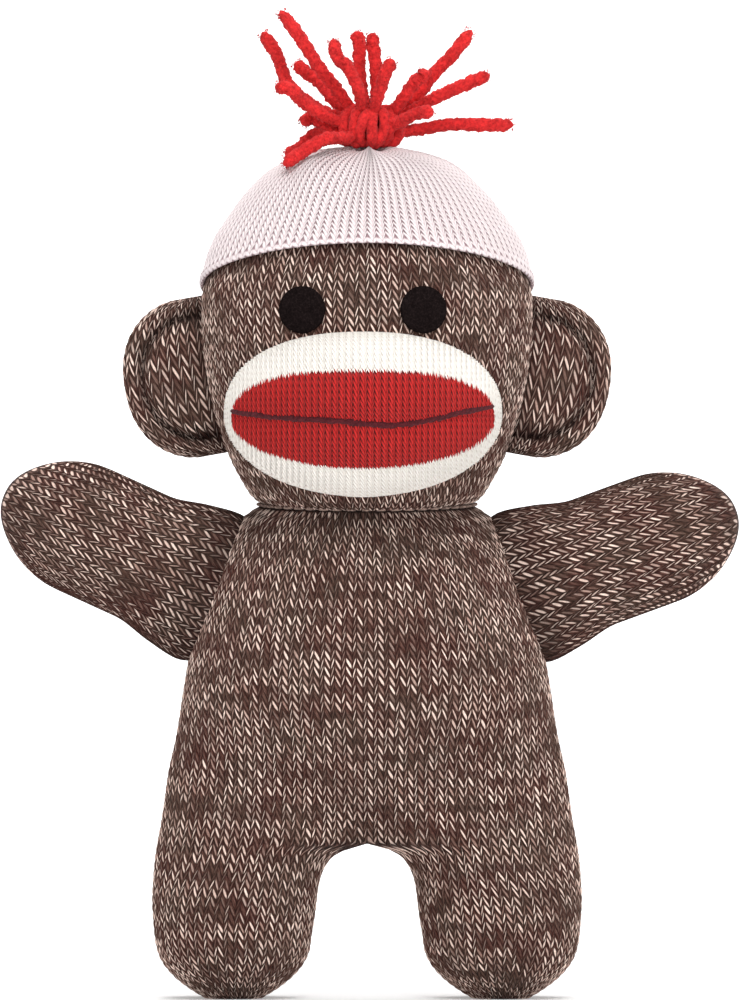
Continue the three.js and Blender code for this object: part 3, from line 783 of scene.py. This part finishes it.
def arm_surface(side):
    """The arm is sewn flat round its outline, so each wale runs straight to the edge at the tip, and
    the wales beside the edges are shorter than the middle ones."""
    rise = ARM_RISE + (LEFT_ARM_LIFT if side < 0 else 0)

    def surface(shares, columns):
        angle = np.linspace(0, TURN, SECTION_STEPS, endpoint=False)
        oval = np.column_stack([np.cos(angle), ARM_SECTION * np.sin(angle), 0 * angle])
        wale = evenly(oval, columns, True)
        up, deep = wale[:, 0], wale[:, 1] / ARM_SECTION
        wale_end = ARM_TIP_START + (ARM_LENGTH - ARM_TIP_START) * (1 - np.abs(up) ** 2.2) ** 0.5
        rows = []
        for share in shares:
            along = ARM_START + (ARM_LENGTH - ARM_START) * share
            along = along - (ARM_LENGTH - wale_end) * share**3
            tip_length = np.maximum(wale_end - ARM_TIP_START, 1e-6)
            into_tip = np.clip((along - ARM_TIP_START) / tip_length, 0, 1)
            height = ARM_MIDDLE_HEIGHT * ARM_HALF_HEIGHT(along / ARM_LENGTH)
            depth = height * ARM_DEPTH_SHARE(along / ARM_LENGTH) * np.sqrt(1 - into_tip**2.2)
            x = along * math.cos(rise) - up * height * math.sin(rise)
            z = along * math.sin(rise) + up * height * math.cos(rise)
            ring = np.column_stack([SHOULDER[0] + x, MIDDLE_Y + deep * depth, SHOULDER[2] + z])
            if side < 0:
                ring = ring[::-1] * (-1, 1, 1)
            rows.append(ring)
        return np.array(rows)
    return surface


def make_arms():
    for name, side in (("left", -1), ("right", 1)):
        arm = knitted_tube(
            f"arm_{name}_knit", arm_surface(side), ARM_WALES, ARM_COURSES, BROWN_RELIEF, BROWN,
            ("first", "last"), (1.0, 1.5),
        )
        points = points_of(arm)
        # Painted shade at the arm's root, darkest where it meets the torso.
        off_torso = np.abs(points[:, 0]) - outside_at(points[:, 2])
        add_painted_shade(arm, 0.6 * (1 - smooth_step(off_torso, 0, 15 * MM)))
        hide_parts(f"arm_{name}_cover", f"arm_{name}_filling")
        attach(arm, f"arm_{name}")


# ---- Head and hat ----

# Half widths at shares of the head's height, as shares of its half width, hat included.
HEAD_OUTLINE = curve_through([
    (0.0, 0.6), (0.025, 0.69), (0.07, 0.755), (0.13, 0.825), (0.2, 0.88), (0.3, 0.945), (0.41, 0.985),
    (0.51, 1.0), (0.6, 0.998), (0.68, 0.965), (0.737, 0.915), (0.793, 0.835), (0.85, 0.745),
    (0.907, 0.625), (0.945, 0.5), (0.967, 0.36), (0.98, 0.22), (0.988, 0.02),
])
HEAD_TOP_SHARE = 0.988
CROWN_SHARE = 0.86  # share of the head's height at which its own knit ends, under the hat
HEAD_WALES, HEAD_COURSES = 87, 40
HAT_WALES, HAT_COURSES = 104, 34
HAT_RIM_SIDE = 0.605  # share of the head's height that the rim has at the sides
HAT_RIM_SLOPE = math.tan(math.radians(16))


def head_half_width(z):
    return HEAD_HALF_WIDTH * HEAD_OUTLINE((z - NECK_Z) / HEAD_HEIGHT)


def head_depth(x, z):
    half = head_half_width(z)
    return HEAD_FLATNESS * np.sqrt(np.clip(half**2 - np.asarray(x, float) ** 2, 0, None))


def head_outline_to(top, steps):
    """Shares of the head's height up to a top one, and how long its outline is up to each."""
    shares = np.linspace(0, top, steps)
    return shares, outline_lengths(HEAD_HALF_WIDTH * HEAD_OUTLINE(shares), shares * HEAD_HEIGHT)


def oval_ring(half, z, columns, flatness=HEAD_FLATNESS):
    angle = np.linspace(0, TURN, SECTION_STEPS, endpoint=False) - math.pi
    ring = np.column_stack([
        half * np.cos(angle), MIDDLE_Y + flatness * half * np.sin(angle), np.full_like(angle, z)
    ])
    return evenly(ring, columns, True)


def under_hat(z):
    """How far the head's skin lies inside its outline, to leave room for the hat and its pleats."""
    side = NECK_Z + HAT_RIM_SIDE * HEAD_HEIGHT
    crown = NECK_Z + CROWN_SHARE * HEAD_HEIGHT
    for_cloth = 0.9 * MM * smooth_step(z, side - 3 * MM, side + 3 * MM)
    return for_cloth + 3 * MM * smooth_step(z, side, crown)


def head_surface(shares, columns):
    fine, length = head_outline_to(CROWN_SHARE, 600)
    rows = []
    for z in np.interp(shares * length[-1], length, fine) * HEAD_HEIGHT + NECK_Z:
        rows.append(oval_ring(float(head_half_width(z) - under_hat(z)), z, columns))
    return settled(np.array(rows))


def make_head():
    head = knitted_tube(
        "head_knit", head_surface, HEAD_WALES, HEAD_COURSES, BROWN_RELIEF, BROWN,
        ("first", "last"), (1.0, 1.0),
    )
    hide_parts("head_cover", "head_filling")
    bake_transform(head)


def rim_height(y):
    return NECK_Z + HAT_RIM_SIDE * HEAD_HEIGHT - (y - MIDDLE_Y) * HAT_RIM_SLOPE


PLEATS = 7
PLEAT_GATHER = 0.75  # how much closer the wales lie in a pleat's valley than they would evenly
PLEAT_SWING = 0.35  # how unevenly the pleats stand round the crown
PLEAT_TURN = 0.75  # turns all the valleys round the crown
PLEAT_DEPTH = 0.09  # how far a ridge stands out, as a share of the hat's radius
RIDGE_BIAS = 0.35  # sinks the folds as a whole, so that their valleys are deeper than ridges are high
RIM_ROLL = 0.45 * MM
RIM_ROLL_SHARE = 0.05  # share of the wale's length that the rolled rim takes


def hat_surface(shares, columns):
    """Each wale runs from the rim to the crown. The crown is drawn in, so pleats fan out from it:
    wide ridges with valleys between them, where the wales crowd together."""
    even = np.arange(columns) / columns * TURN - math.pi
    rim_y = HEAD_FLATNESS * HEAD_HALF_WIDTH * np.sin(even)
    rim_share = (rim_height(MIDDLE_Y + rim_y) - NECK_Z) / HEAD_HEIGHT
    fine, length = head_outline_to(HEAD_TOP_SHARE, 800)
    rim_length = np.interp(rim_share, fine, length)
    from_front = even + math.pi / 2
    valley = PLEATS * from_front + PLEAT_SWING * np.sin(2 * from_front + 1.1) - PLEAT_TURN
    reach = 0.5 + 0.28 * np.sin(3 * from_front + 2.4)  # some pleats run further down than others
    rows = []
    for share in shares:
        along = rim_length + (length[-1] - rim_length) * share
        height_share = np.interp(along, length, fine)
        near_crown = smooth_step(share, 1 - 1.15 * reach, 1.02 - 0.35 * reach)
        turn = even - near_crown * PLEAT_GATHER / PLEATS * np.sin(valley)
        fold = near_crown * (np.cos(valley) - RIDGE_BIAS)
        rolled = RIM_ROLL * math.sin(min(share / RIM_ROLL_SHARE, 1) * math.pi) ** 0.5
        half = HEAD_HALF_WIDTH * HEAD_OUTLINE(height_share) * (1 + PLEAT_DEPTH * fold)
        half = half + 0.3 * MM + rolled
        rows.append(np.column_stack([
            half * np.cos(turn),
            MIDDLE_Y + HEAD_FLATNESS * half * np.sin(turn),
            NECK_Z + height_share * HEAD_HEIGHT + 0.5 * MM * fold,
        ]))
    return np.array(rows)


def make_hat():
    hat = knitted_tube(
        "hat_knit", hat_surface, HAT_WALES, HAT_COURSES, 0.22 * MM, WHITE, ("last",), (1.5, 12.0)
    )
    thickness = hat.modifiers.new("two_layers", "SOLIDIFY")
    thickness.thickness = 0.9 * MM
    thickness.offset = -1
    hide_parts("hat_cap")
    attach(hat, "head")


# ---- Muzzle, lips, mouth and eyes ----

MUZZLE_HALF_WIDTH = 27.7 * MM
MUZZLE_HALF_HEIGHT = 16.5 * MM
MUZZLE_Z = LIPS_Z + 1 * MM
MUZZLE_BULGE = 11.5 * MM
MUZZLE_LEAN = 0.2  # how much fuller the muzzle is at its top than at its middle, as a share
UPPER_SHAPE, LOWER_SHAPE = 2.3, 1.95  # how square the upper and lower halves of the outline are
UPPER_LIP_SHAPE, LOWER_LIP_SHAPE = 2.7, 2.0
LIP_FULLNESS = 1.3 * MM
MOUTH_PINCH = 1.8 * MM  # how deep the mouth's stitching pulls the lips in
MOUTH_PINCH_REACH = 2.4 * MM
MUZZLE_WALES, MUZZLE_COURSES = 56, 38

# The mouth line's rise above the lips' middle, at shares of the lips' half width.
MOUTH_RISE = curve_through([
    (-1.0, 1.8 * MM), (-0.62, 0.6 * MM), (-0.25, 0.05 * MM), (0.21, -0.9 * MM), (0.48, 0),
    (0.72, 1.5 * MM), (1.0, 2.8 * MM),
])


def mouth_height(x):
    return LIPS_Z + MOUTH_RISE((x - FACE_X) / LIPS_HALF_WIDTH)


def in_oval(across, up, upper_shape, lower_shape):
    """0 in an oval's middle and 1 on its outline."""
    shape = np.where(up > 0, upper_shape, lower_shape)
    return np.abs(across) ** shape + np.abs(up) ** shape


def in_muzzle(x, z):
    across, up = (x - FACE_X) / MUZZLE_HALF_WIDTH, (z - MUZZLE_Z) / MUZZLE_HALF_HEIGHT
    return in_oval(across, up, UPPER_SHAPE, LOWER_SHAPE)


def in_lips(x, z):
    across, up = (x - FACE_X) / LIPS_HALF_WIDTH, (z - LIPS_Z) / LIPS_HALF_HEIGHT
    return in_oval(across, up, UPPER_LIP_SHAPE, LOWER_LIP_SHAPE)


def muzzle_y(x, z):
    """The muzzle's surface: a bulge on the head's front, pinched a little along the mouth."""
    up = (z - MUZZLE_Z) / MUZZLE_HALF_HEIGHT
    bulge = MUZZLE_BULGE * (1 + MUZZLE_LEAN * up) * (1 - np.clip(in_muzzle(x, z), 0, 1)) ** 0.46
    behind = head_depth(0.93 * x, np.maximum(z, NECK_Z + 2 * MM)) - 1.2 * MM
    lips = np.clip(in_lips(x, z), 0, 1)
    off_line = (z - mouth_height(x)) / MOUTH_PINCH_REACH
    pinch = MOUTH_PINCH * np.exp(-(off_line**2)) * (1 - lips**4)
    fullness = LIP_FULLNESS * (1 - lips) ** 0.5
    return MIDDLE_Y - behind - bulge - fullness + pinch


def muzzle_grid(rows, columns):
    """A plain rectangle of cloth laid over the muzzle, with its wales upright."""
    x = FACE_X + MUZZLE_HALF_WIDTH * np.linspace(-1, 1, 400)
    x = even_places(x, muzzle_y(x, MUZZLE_Z), columns)
    z = MUZZLE_Z + MUZZLE_HALF_HEIGHT * np.linspace(-1, 1, 400)
    z = even_places(z, muzzle_y(FACE_X, z), rows)
    x, z = np.meshgrid(x, z)
    return np.stack([x, muzzle_y(x, z), z], axis=-1)


def part_of_mesh(points, faces, stitches, keep):
    """The chosen faces with only the points that they use."""
    faces, stitches = faces[keep], stitches[keep]
    used, renumbered = np.unique(faces.ravel(), return_inverse=True)
    return points[used], renumbered.reshape(faces.shape), stitches


def make_muzzle():
    """One knitted patch whose oval middle is worked in red."""
    grid = muzzle_grid(MUZZLE_COURSES * ALONG + 1, MUZZLE_WALES * ACROSS + 1)
    before, after = 2 * grid[:, 0] - grid[:, 1], 2 * grid[:, -1] - grid[:, -2]
    relief = np.where(in_lips(grid[..., 0], grid[..., 2]) < 1, 0.2 * MM, 0.05 * MM)
    calm = smooth_step(1 - in_muzzle(grid[..., 0], grid[..., 2]), 0, 0.15)
    points = stitched(grid, relief, before, after, (1.0, 1.0), calm)
    faces, stitches = fabric_faces(*points.shape[:2], False)
    points = points.reshape(-1, 3)
    centres = points[faces].mean(axis=1)
    red = in_lips(centres[:, 0], centres[:, 2]) < 1
    whole = in_muzzle(centres[:, 0], centres[:, 2]) < 1
    cream = mesh_piece("muzzle_knit", *part_of_mesh(points, faces, stitches, whole & ~red), CREAM)
    lips = mesh_piece("lips_knit", *part_of_mesh(points, faces, stitches, red), RED)
    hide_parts("muzzle_cover", "muzzle_filling")
    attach(cream, "head")
    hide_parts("lips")
    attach(lips, "head")


NO_STRAND_RUNS_THIS_WAY = (0.3, 0.2, 0.93)  # so that a first sideways direction can be found


def tube_mesh(name, path, radius_at, sides, material, twist=1.0, rough=0.0, seed=1):
    """A closed tube of yarn along a path. Its surface is plied: three strands twisted together."""
    path = np.asarray(path, float)
    count = len(path)
    ahead = np.gradient(path, axis=0)
    ahead /= np.linalg.norm(ahead, axis=1, keepdims=True)
    side = unit(np.cross(ahead[0], NO_STRAND_RUNS_THIS_WAY))
    twists = path_lengths(path) / (twist * MM)
    rng = np.random.default_rng(seed)
    rings = []
    angle = np.arange(sides) / sides * TURN
    for i in range(count):
        side = unit(side - ahead[i] * (side @ ahead[i]))
        other = np.cross(ahead[i], side)
        radius = radius_at(i / (count - 1))
        plied = 1 + 0.1 * np.cos(PLIES * angle + TURN * twists[i])
        plied = plied + rough * rng.normal(size=sides)
        offset = np.outer(np.cos(angle) * plied, side) + np.outer(np.sin(angle) * plied, other)
        rings.append(path[i] + radius * offset)
    points = np.vstack([*rings, path[:1], path[-1:]])
    faces, stitches = ring_faces(count, sides), ring_stitches(twists, sides)
    first, last = count * sides, count * sides + 1
    for k in range(sides):
        nxt = (k + 1) % sides
        faces.append([nxt, k, first])
        faces.append([(count - 1) * sides + k, (count - 1) * sides + nxt, last])
        stitches += [[0, 0]] * 6
    return mesh_piece(name, points.tolist(), faces, stitches, material)


def make_mouth():
    x = np.linspace(FACE_X - 0.995 * LIPS_HALF_WIDTH, FACE_X + 0.985 * LIPS_HALF_WIDTH, 160)
    z = mouth_height(x) + 0.04 * MM * np.sin(x / (0.9 * MM))
    path = np.column_stack([x, muzzle_y(x, z) + 0.3 * MM, z])

    def radius_at(t):
        return 0.8 * MM * (0.45 + 0.55 * math.sin(math.pi * t) ** 0.3) * (1 + 0.08 * math.sin(57 * t))

    mouth = tube_mesh("mouth_yarn", path, radius_at, 12, MOUTH, 2.0, 0.08)
    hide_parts("mouth_stitch")
    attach(mouth, "head")


EYE_THICKNESS = 1.1 * MM
EYE_NARROWING = 0.98  # an eye's width as a share of its height
# The disc's section, from its flat middle over its edge: shares of its radius and its thickness.
EYE_PROFILE = (
    (0.3, 1.0), (0.6, 1.0), (0.82, 0.98), (0.93, 0.9), (0.985, 0.7), (1.0, 0.4), (0.985, -0.6),
)


def make_eyes():
    """Felt discs pressed onto the curve of the head, with a soft cut edge."""
    sides = 64
    for name in ("left", "right"):
        centre = centre_of(f"eye_{name}")
        points = []
        angle = np.arange(sides) / sides * TURN
        ragged = 1 + 0.006 * np.sin(7 * angle) + 0.005 * np.sin(19 * angle + 1)
        for share, lift in EYE_PROFILE:
            x = centre.x + EYE_RADIUS * share * np.cos(angle) * ragged * EYE_NARROWING
            z = centre.z + EYE_RADIUS * share * np.sin(angle) * ragged
            y = MIDDLE_Y - head_depth(x, z) - EYE_THICKNESS * lift
            points += np.column_stack([x, y, z]).tolist()
        middle_y = MIDDLE_Y - float(head_depth(centre.x, centre.z)) - EYE_THICKNESS
        points.append([centre.x, middle_y, centre.z])
        quads = ring_faces(len(EYE_PROFILE), sides)
        faces = [[b, a, past_a, past_b] for a, b, past_b, past_a in quads]
        for k in range(sides):
            faces.append([k, (k + 1) % sides, len(points) - 1])
        eye = mesh_piece(f"eye_{name}_felt", points, faces, None, BLACK)
        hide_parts(f"eye_{name}")
        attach(eye, "head")


# ---- Ears ----


def ear_frame(side):
    """An ear's fold line: a point on it, the way out from the head, and the way up along it."""
    joint = joints["ear_right_fold" if side > 0 else "ear_left_fold"]
    up = np.array(joint["axis"], float)
    up = up * np.sign(up[2])
    out = np.cross(up, (0, 1, 0)) * -1
    out = out * side * np.sign(out[0])
    return np.array(joint["pos_m"], float), unit(out), unit(up)


EAR_HALF_HEIGHT = size_of("ear_right_cover").z / 2 * 1.01
EAR_REACH = 14.4 * MM
EAR_ROOT = 4.2 * MM  # how far the ear runs in past its fold line, to the seam on the head
EAR_PUFF = 4.3 * MM
EAR_BACK_SHARE = 0.8  # how much the ear's back bulges, as a share of its front
EAR_WALES, EAR_COURSES = 20, 20
STITCH_LINE = 0.76  # share of the ear's reach at which its two faces are stitched together


def ear_edge(up):
    return EAR_REACH * (1 - np.abs(up / EAR_HALF_HEIGHT) ** 2.3) ** (1 / 2.1)


def ear_thickness(out, up):
    """Puffy, thin at the rim, with the topstitch line drawn in."""
    reach = np.maximum(ear_edge(up), 1e-6)
    rim = np.clip(1 - (np.clip(out, 0, None) / reach) ** 2.4, 0, 1) ** 0.5
    ends = np.clip(1 - np.abs(up / EAR_HALF_HEIGHT) ** 3, 0, 1) ** 0.5
    radial = np.hypot(np.clip(out, 0, None) / EAR_REACH, up / EAR_HALF_HEIGHT)
    groove = 0.72 * np.exp(-(((radial - STITCH_LINE) / 0.07) ** 2))
    return EAR_PUFF * np.minimum(rim, ends + 0.15) * (1 - groove)


def ear_surface(side):
    def surface(shares, columns):
        centre, out, up = ear_frame(side)
        rows = []
        for share in shares:
            height = EAR_HALF_HEIGHT * math.sin((share - 0.5) * math.pi * 0.97)
            reach = float(ear_edge(height))
            x = across_steps(-EAR_ROOT, reach)
            thick = ear_thickness(x, height) + 0.02 * MM
            back = thick * EAR_BACK_SHARE
            front_line = centre + np.outer(x, out) + np.outer(np.full_like(x, height), up)
            front = front_line + np.outer(-thick, (0, 1, 0))
            rear = (front_line + np.outer(back, (0, 1, 0)))[::-1]
            front = evenly(front, columns // 2 + 1, False)[:-1]
            rear = evenly(rear, columns // 2 + 1, False)[:-1]
            ring = np.vstack([front, rear])
            if side < 0:
                ring = np.roll(ring[::-1], columns // 2 + 1, axis=0)
            rows.append(ring)
        return np.array(rows)
    return surface


def ear_painted_shade(from_centre, out, up):
    """Painted shade: 1 in the stitched line and at the ear's root, where the cloth is drawn in and shade
    falls.
    """
    x, height = from_centre @ out, from_centre @ up
    radial = np.hypot(np.clip(x, 0, None) / EAR_REACH, height / EAR_HALF_HEIGHT)
    line = np.exp(-(((radial - STITCH_LINE) / 0.05) ** 2)) * (x > -1 * MM)
    root = 1 - smooth_step(x, -2.5 * MM, 1 * MM)
    return np.clip(line + 0.35 * root, 0, 1)


def make_ears():
    for name, side in (("left", -1), ("right", 1)):
        ear = knitted_tube(
            f"ear_{name}_knit", ear_surface(side), EAR_WALES, EAR_COURSES, 0.28 * MM, BROWN,
            ("first", "last"), (1.0, 1.0),
        )
        centre, out, up = ear_frame(side)
        # Painted shade in the stitched line and at the ear's root.
        add_painted_shade(ear, ear_painted_shade(points_of(ear) - centre, out, up))
        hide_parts(f"ear_{name}_cover", f"ear_{name}_wadding")
        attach(ear, f"ear_{name}")
        make_topstitch(name, side)


def joined(name, parts, material):
    """Several closed meshes as one piece."""
    points, faces, stitches = [], [], []
    for part_points, part_faces, part_stitches in parts:
        start = len(points)
        points += part_points
        faces += [[i + start for i in face] for face in part_faces]
        stitches += part_stitches
    return mesh_piece(name, points, faces, stitches, material)


def stitch_mesh(a, b, lift, radius):
    """One short stitch: a thread that comes up out of the cloth at a and goes down again at b."""
    a, b, lift = (np.asarray(v, float) for v in (a, b, lift))
    steps, sides = 7, 6
    outward = unit(lift)
    other = np.cross(unit(b - a), outward)
    points = []
    for i in range(steps):
        t = i / (steps - 1)
        middle = a + (b - a) * t + lift * (math.sin(math.pi * t) ** 0.6 - 0.45)
        for k in range(sides):
            turn = k / sides * TURN
            around = math.cos(turn) * other + math.sin(turn) * outward
            points.append((middle + radius * around).tolist())
    faces = ring_faces(steps, sides)
    stitches = ring_stitches([0.3 * i for i in range(steps)], sides)
    faces.append(list(range(sides))[::-1])
    faces.append([(steps - 1) * sides + k for k in range(sides)])
    stitches += [[0, 0]] * (2 * sides)
    return points, faces, stitches


def make_topstitch(name, side):
    centre, out, up = ear_frame(side)
    parts = []
    for degrees in range(-84, 85, 8):
        ends = []
        for angle in np.radians((degrees - 2.6, degrees + 2.6)):
            x = STITCH_LINE * EAR_REACH * math.cos(angle)
            height = STITCH_LINE * EAR_HALF_HEIGHT * math.sin(angle)
            thick = float(ear_thickness(np.array(x), height)) + 0.1 * MM
            ends.append(centre + x * out + height * up - np.array((0, thick, 0)))
        parts.append(stitch_mesh(ends[0], ends[1], (0, -0.35 * MM, 0), 0.2 * MM))
    thread = joined(f"ear_{name}_thread", parts, THREAD)
    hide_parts(f"ear_{name}_topstitch")
    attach(thread, f"ear_{name}")


# ---- Neck seam ----


NECK_STITCHES = 46


def make_neck_seam():
    """A running stitch round the neck: each stitch fills two thirds of its place, a gap the rest."""
    half = float(outside_at(NECK_Z)) + 0.5 * MM
    depth = TORSO_HALF_DEPTH * float(BODY_DEPTH(1.0)) + 0.5 * MM
    parts = []
    for i in range(NECK_STITCHES):
        ends = []
        for share in (i + 0.12, i + 0.8):
            turn = share / NECK_STITCHES * TURN
            end = np.array((half * math.cos(turn), MIDDLE_Y + depth * math.sin(turn), NECK_Z + 0.3 * MM))
            ends.append(settled(end))
        middle = (np.array(ends[0]) + np.array(ends[1])) / 2 - (0, MIDDLE_Y, NECK_Z)
        lift = 0.55 * MM * unit(middle)
        parts.append(stitch_mesh(ends[0], ends[1], lift, 0.3 * MM))
    seam = joined("neck_thread", parts, THREAD)
    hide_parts("neck_seam_thread")
    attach(seam, "neck")


# ---- Tassel ----

STRAND_RADIUS = 1.22 * MM
STRAND_TWIST = 2.4  # millimetres of strand in one turn of its plies
STRAND_ROUGHNESS = 0.09
FIBRE_WIDTH = 0.12 * MM
FIBRE_SPACING = 0.05 * MM  # how much of a strand there is for each loose fibre

# Each strand's bend and tip in millimetres, as the CAD solids have them.
STRANDS = [
    ((-9.6, -2.4, 186), (-17.4, -3, 197.4)),
    ((-15.5, 3, 182.5), (-21, 4, 193.4)),
    ((-13.4, -6.5, 179.5), (-18.4, -8, 182)),
    ((-9.6, 8.5, 183.5), (-14.4, 11, 187.6)),
    ((-4, -8.4, 186), (-6.8, -10.5, 191.4)),
    ((-1.6, 4.5, 187), (-2.4, 6, 193.6)),
    ((1.8, -1, 186), (1, -1.2, 193)),
    ((3, -7, 182.6), (5.2, -9, 187.4)),
    ((13, 3.5, 184.5), (21, 5, 193.8)),
    ((9.5, -4.5, 183), (11.6, -6, 185.4)),
    ((15, -1.5, 180.6), (24.6, -2, 184.6)),
    ((9.8, -8, 176.6), (13, -11, 177)),
    ((17, 2, 174.8), (29.4, 3, 174.8)),
    ((-9.5, -1, 175.2), (-13, -1.5, 174.6)),
    ((-10.5, 8, 173), (-16.4, 10.5, 168.8)),
    ((-8.5, -10, 171.4), (-16.6, -13, 166.2)),
]


def bent_path(points, steps):
    """A smooth path through a few points."""
    points = np.asarray(points, float)
    padded_points = np.vstack([2 * points[0] - points[1], points, 2 * points[-1] - points[-2]])
    path = []
    for i in range(1, len(padded_points) - 2):
        before, a, b, after = padded_points[i - 1:i + 3]
        for t in np.linspace(0, 1, steps, endpoint=False):
            path.append(0.5 * (
                2 * a + (b - before) * t + (2 * before - 5 * a + 4 * b - after) * t**2
                + (3 * a - before - 3 * b + after) * t**3
            ))
    path.append(points[-1])
    return np.array(path)


def strand_radius(t):
    """Full along the strand, a little fatter near the cut tip, which is rounded."""
    tip = min(1, math.sqrt(max(1 - t, 0.0004) * 12))
    return STRAND_RADIUS * (0.94 + 0.16 * t) * tip


def fuzz(path, radius, count, rng):
    """Short fibres that stand out of a strand, as thin three-sided spikes."""
    path = np.asarray(path, float)
    parts = []
    for place in rng.uniform(0.02, 1.0, count):
        where = place * (len(path) - 1)
        i = min(int(where), len(path) - 2)
        root = path[i] + (path[i + 1] - path[i]) * (where - i)
        ahead = unit(path[i + 1] - path[i])
        out = rng.normal(size=3)
        out = unit(out - ahead * (out @ ahead))
        side = np.cross(out, ahead)
        start = root + 0.85 * radius * out
        lean = ahead * rng.uniform(-0.5, 0.8) + side * rng.uniform(-0.5, 0.5)
        tip = start + (out + lean) * rng.uniform(0.3, 0.6) * MM
        to_side, forward = FIBRE_WIDTH * side, FIBRE_WIDTH * ahead
        corners = (start + to_side, start - 0.5 * to_side + forward, start - 0.5 * to_side - forward)
        points = [*corners, tip]
        faces = [[0, 1, 3], [1, 2, 3], [2, 0, 3]]
        parts.append(([p.tolist() for p in points], faces, [[0.1, place * 9]] * 9))
    return parts


def yarn_piece(name, path, radius_at, sides, seed, fibres):
    """A strand of red yarn with its loose fibres, as one mesh."""
    strand = tube_mesh(name, path, radius_at, sides, YARN, STRAND_TWIST, STRAND_ROUGHNESS, seed)
    rng = np.random.default_rng(seed + 100)
    hairs = joined(f"{name}_hairs", fuzz(path, STRAND_RADIUS, fibres, rng), YARN)
    both = [strand, hairs]
    with bpy.context.temp_override(
        active_object=strand, object=strand, selected_objects=both, selected_editable_objects=both
    ):
        bpy.ops.object.join()
    return strand


def make_tassel():
    """Sixteen loose ends of yarn that stand out of the knot."""
    rng = np.random.default_rng(4)
    for i, (bend, tip) in enumerate(STRANDS):
        bend, tip = (np.array(place) * MM + (0, MIDDLE_Y, 0) for place in (bend, tip))
        start = np.array(KNOT) + 0.3 * (bend - np.array(KNOT)) - (0, 0, 1.5 * MM)
        wander = rng.normal(size=(2, 3)) * 0.5 * MM
        points = [start, (start + bend) / 2 + wander[0], bend, (bend + tip) / 2 + wander[1], tip]
        name = f"tassel_strand_{i + 1:02d}"
        path = bent_path(points, 14)
        fibres = round(path_lengths(path)[-1] / FIBRE_SPACING)
        strand = yarn_piece(f"{name}_yarn", path, strand_radius, 18, i, fibres)
        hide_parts(name)
        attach(strand, "head")


def make_knot():
    """One strand wound round and round into a lumpy ring, where the tassel is tied."""
    loops, steps = 17, 480
    path = []
    for k in range(steps):
        t = k / (steps - 1)
        around, over = TURN * t, loops * TURN * t
        reach = 3.2 * MM + 2.2 * MM * math.cos(over)
        path.append((
            KNOT.x + 1.1 * reach * math.cos(around), KNOT.y + reach * math.sin(around),
            KNOT.z - 0.5 * MM + 3.2 * MM * math.sin(over),
        ))
    path = np.array(path) + 0.3 * MM * np.sin(np.outer(np.arange(steps), (0.37, 0.53, 0.29)))
    knot = yarn_piece("tassel_knot_yarn", path, lambda t: STRAND_RADIUS * 0.9, 14, 30, 500)
    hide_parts("tassel_knot")
    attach(knot, "head")


# ---- Stage, light and camera ----


def make_stage():
    """A round pale floor that curves up all round, so that no view of the toy shows a horizon."""
    bend, steps, sides = 0.2 * STAGE_RADIUS, 12, 64
    points = []
    for turn in np.linspace(0, math.pi / 2, steps + 1):
        radius, height = STAGE_RADIUS - bend + bend * math.sin(turn), bend * (1 - math.cos(turn))
        for around in np.arange(sides) / sides * TURN:
            points.append((radius * math.cos(around), radius * math.sin(around), height))
    quads = ring_faces(steps + 1, sides)
    faces = [list(range(sides))] + [[a, past_a, past_b, b] for a, b, past_b, past_a in quads]
    floor = mesh_piece("floor", points, faces, None, sweep_paper())


def area_light(name, place, target, size, power):
    data = bpy.data.lights.new(name, "AREA")
    data.shape = "DISK"
    data.size = size
    data.energy = power
    lamp = bpy.data.objects.new(name, data)
    bpy.context.scene.collection.objects.link(lamp)
    lamp.location = place
    toward = Vector(target) - Vector(place)
    lamp.rotation_euler = toward.to_track_quat("-Z", "Y").to_euler()


def make_lights():
    middle = (0, 0, 0.1)
    area_light("key", (0.03, -0.55, 0.8), middle, 0.5, 4.9)
    area_light("fill", (1.1, -1.3, 0.7), middle, 1.2, 4.0)
    area_light("top", (0, 0.7, 1.5), (0, 1.4, 0), 1.4, 26)
    world = bpy.data.worlds.new("studio")
    bpy.context.scene.world = world
    world.use_nodes = True
    background = world.node_tree.nodes["Background"]
    background.inputs["Color"].default_value = (1, 1, 1, 1)
    background.inputs["Strength"].default_value = 0.33
    bpy.context.scene.view_settings.view_transform = "Standard"


FRAME_HEIGHT = 0.2  # how high the picture is, in metres at the toy
CAMERA_DISTANCE = 2.2
CAMERA_X, CAMERA_Z = 0.0011, 0.0996


def make_camera():
    data = bpy.data.cameras.new("camera")
    data.lens = data.sensor_width * CAMERA_DISTANCE / FRAME_HEIGHT
    camera = bpy.data.objects.new("camera", data)
    bpy.context.scene.collection.objects.link(camera)
    camera.location = (CAMERA_X, MIDDLE_Y - CAMERA_DISTANCE, CAMERA_Z)
    camera.rotation_euler = (math.pi / 2, 0, 0)
    bpy.context.scene.camera = camera


make_camera()
make_lights()
make_stage()
make_body()
make_arms()
make_head()
make_hat()
make_muzzle()
make_mouth()
make_eyes()
make_ears()
make_neck_seam()
make_tassel()
make_knot()
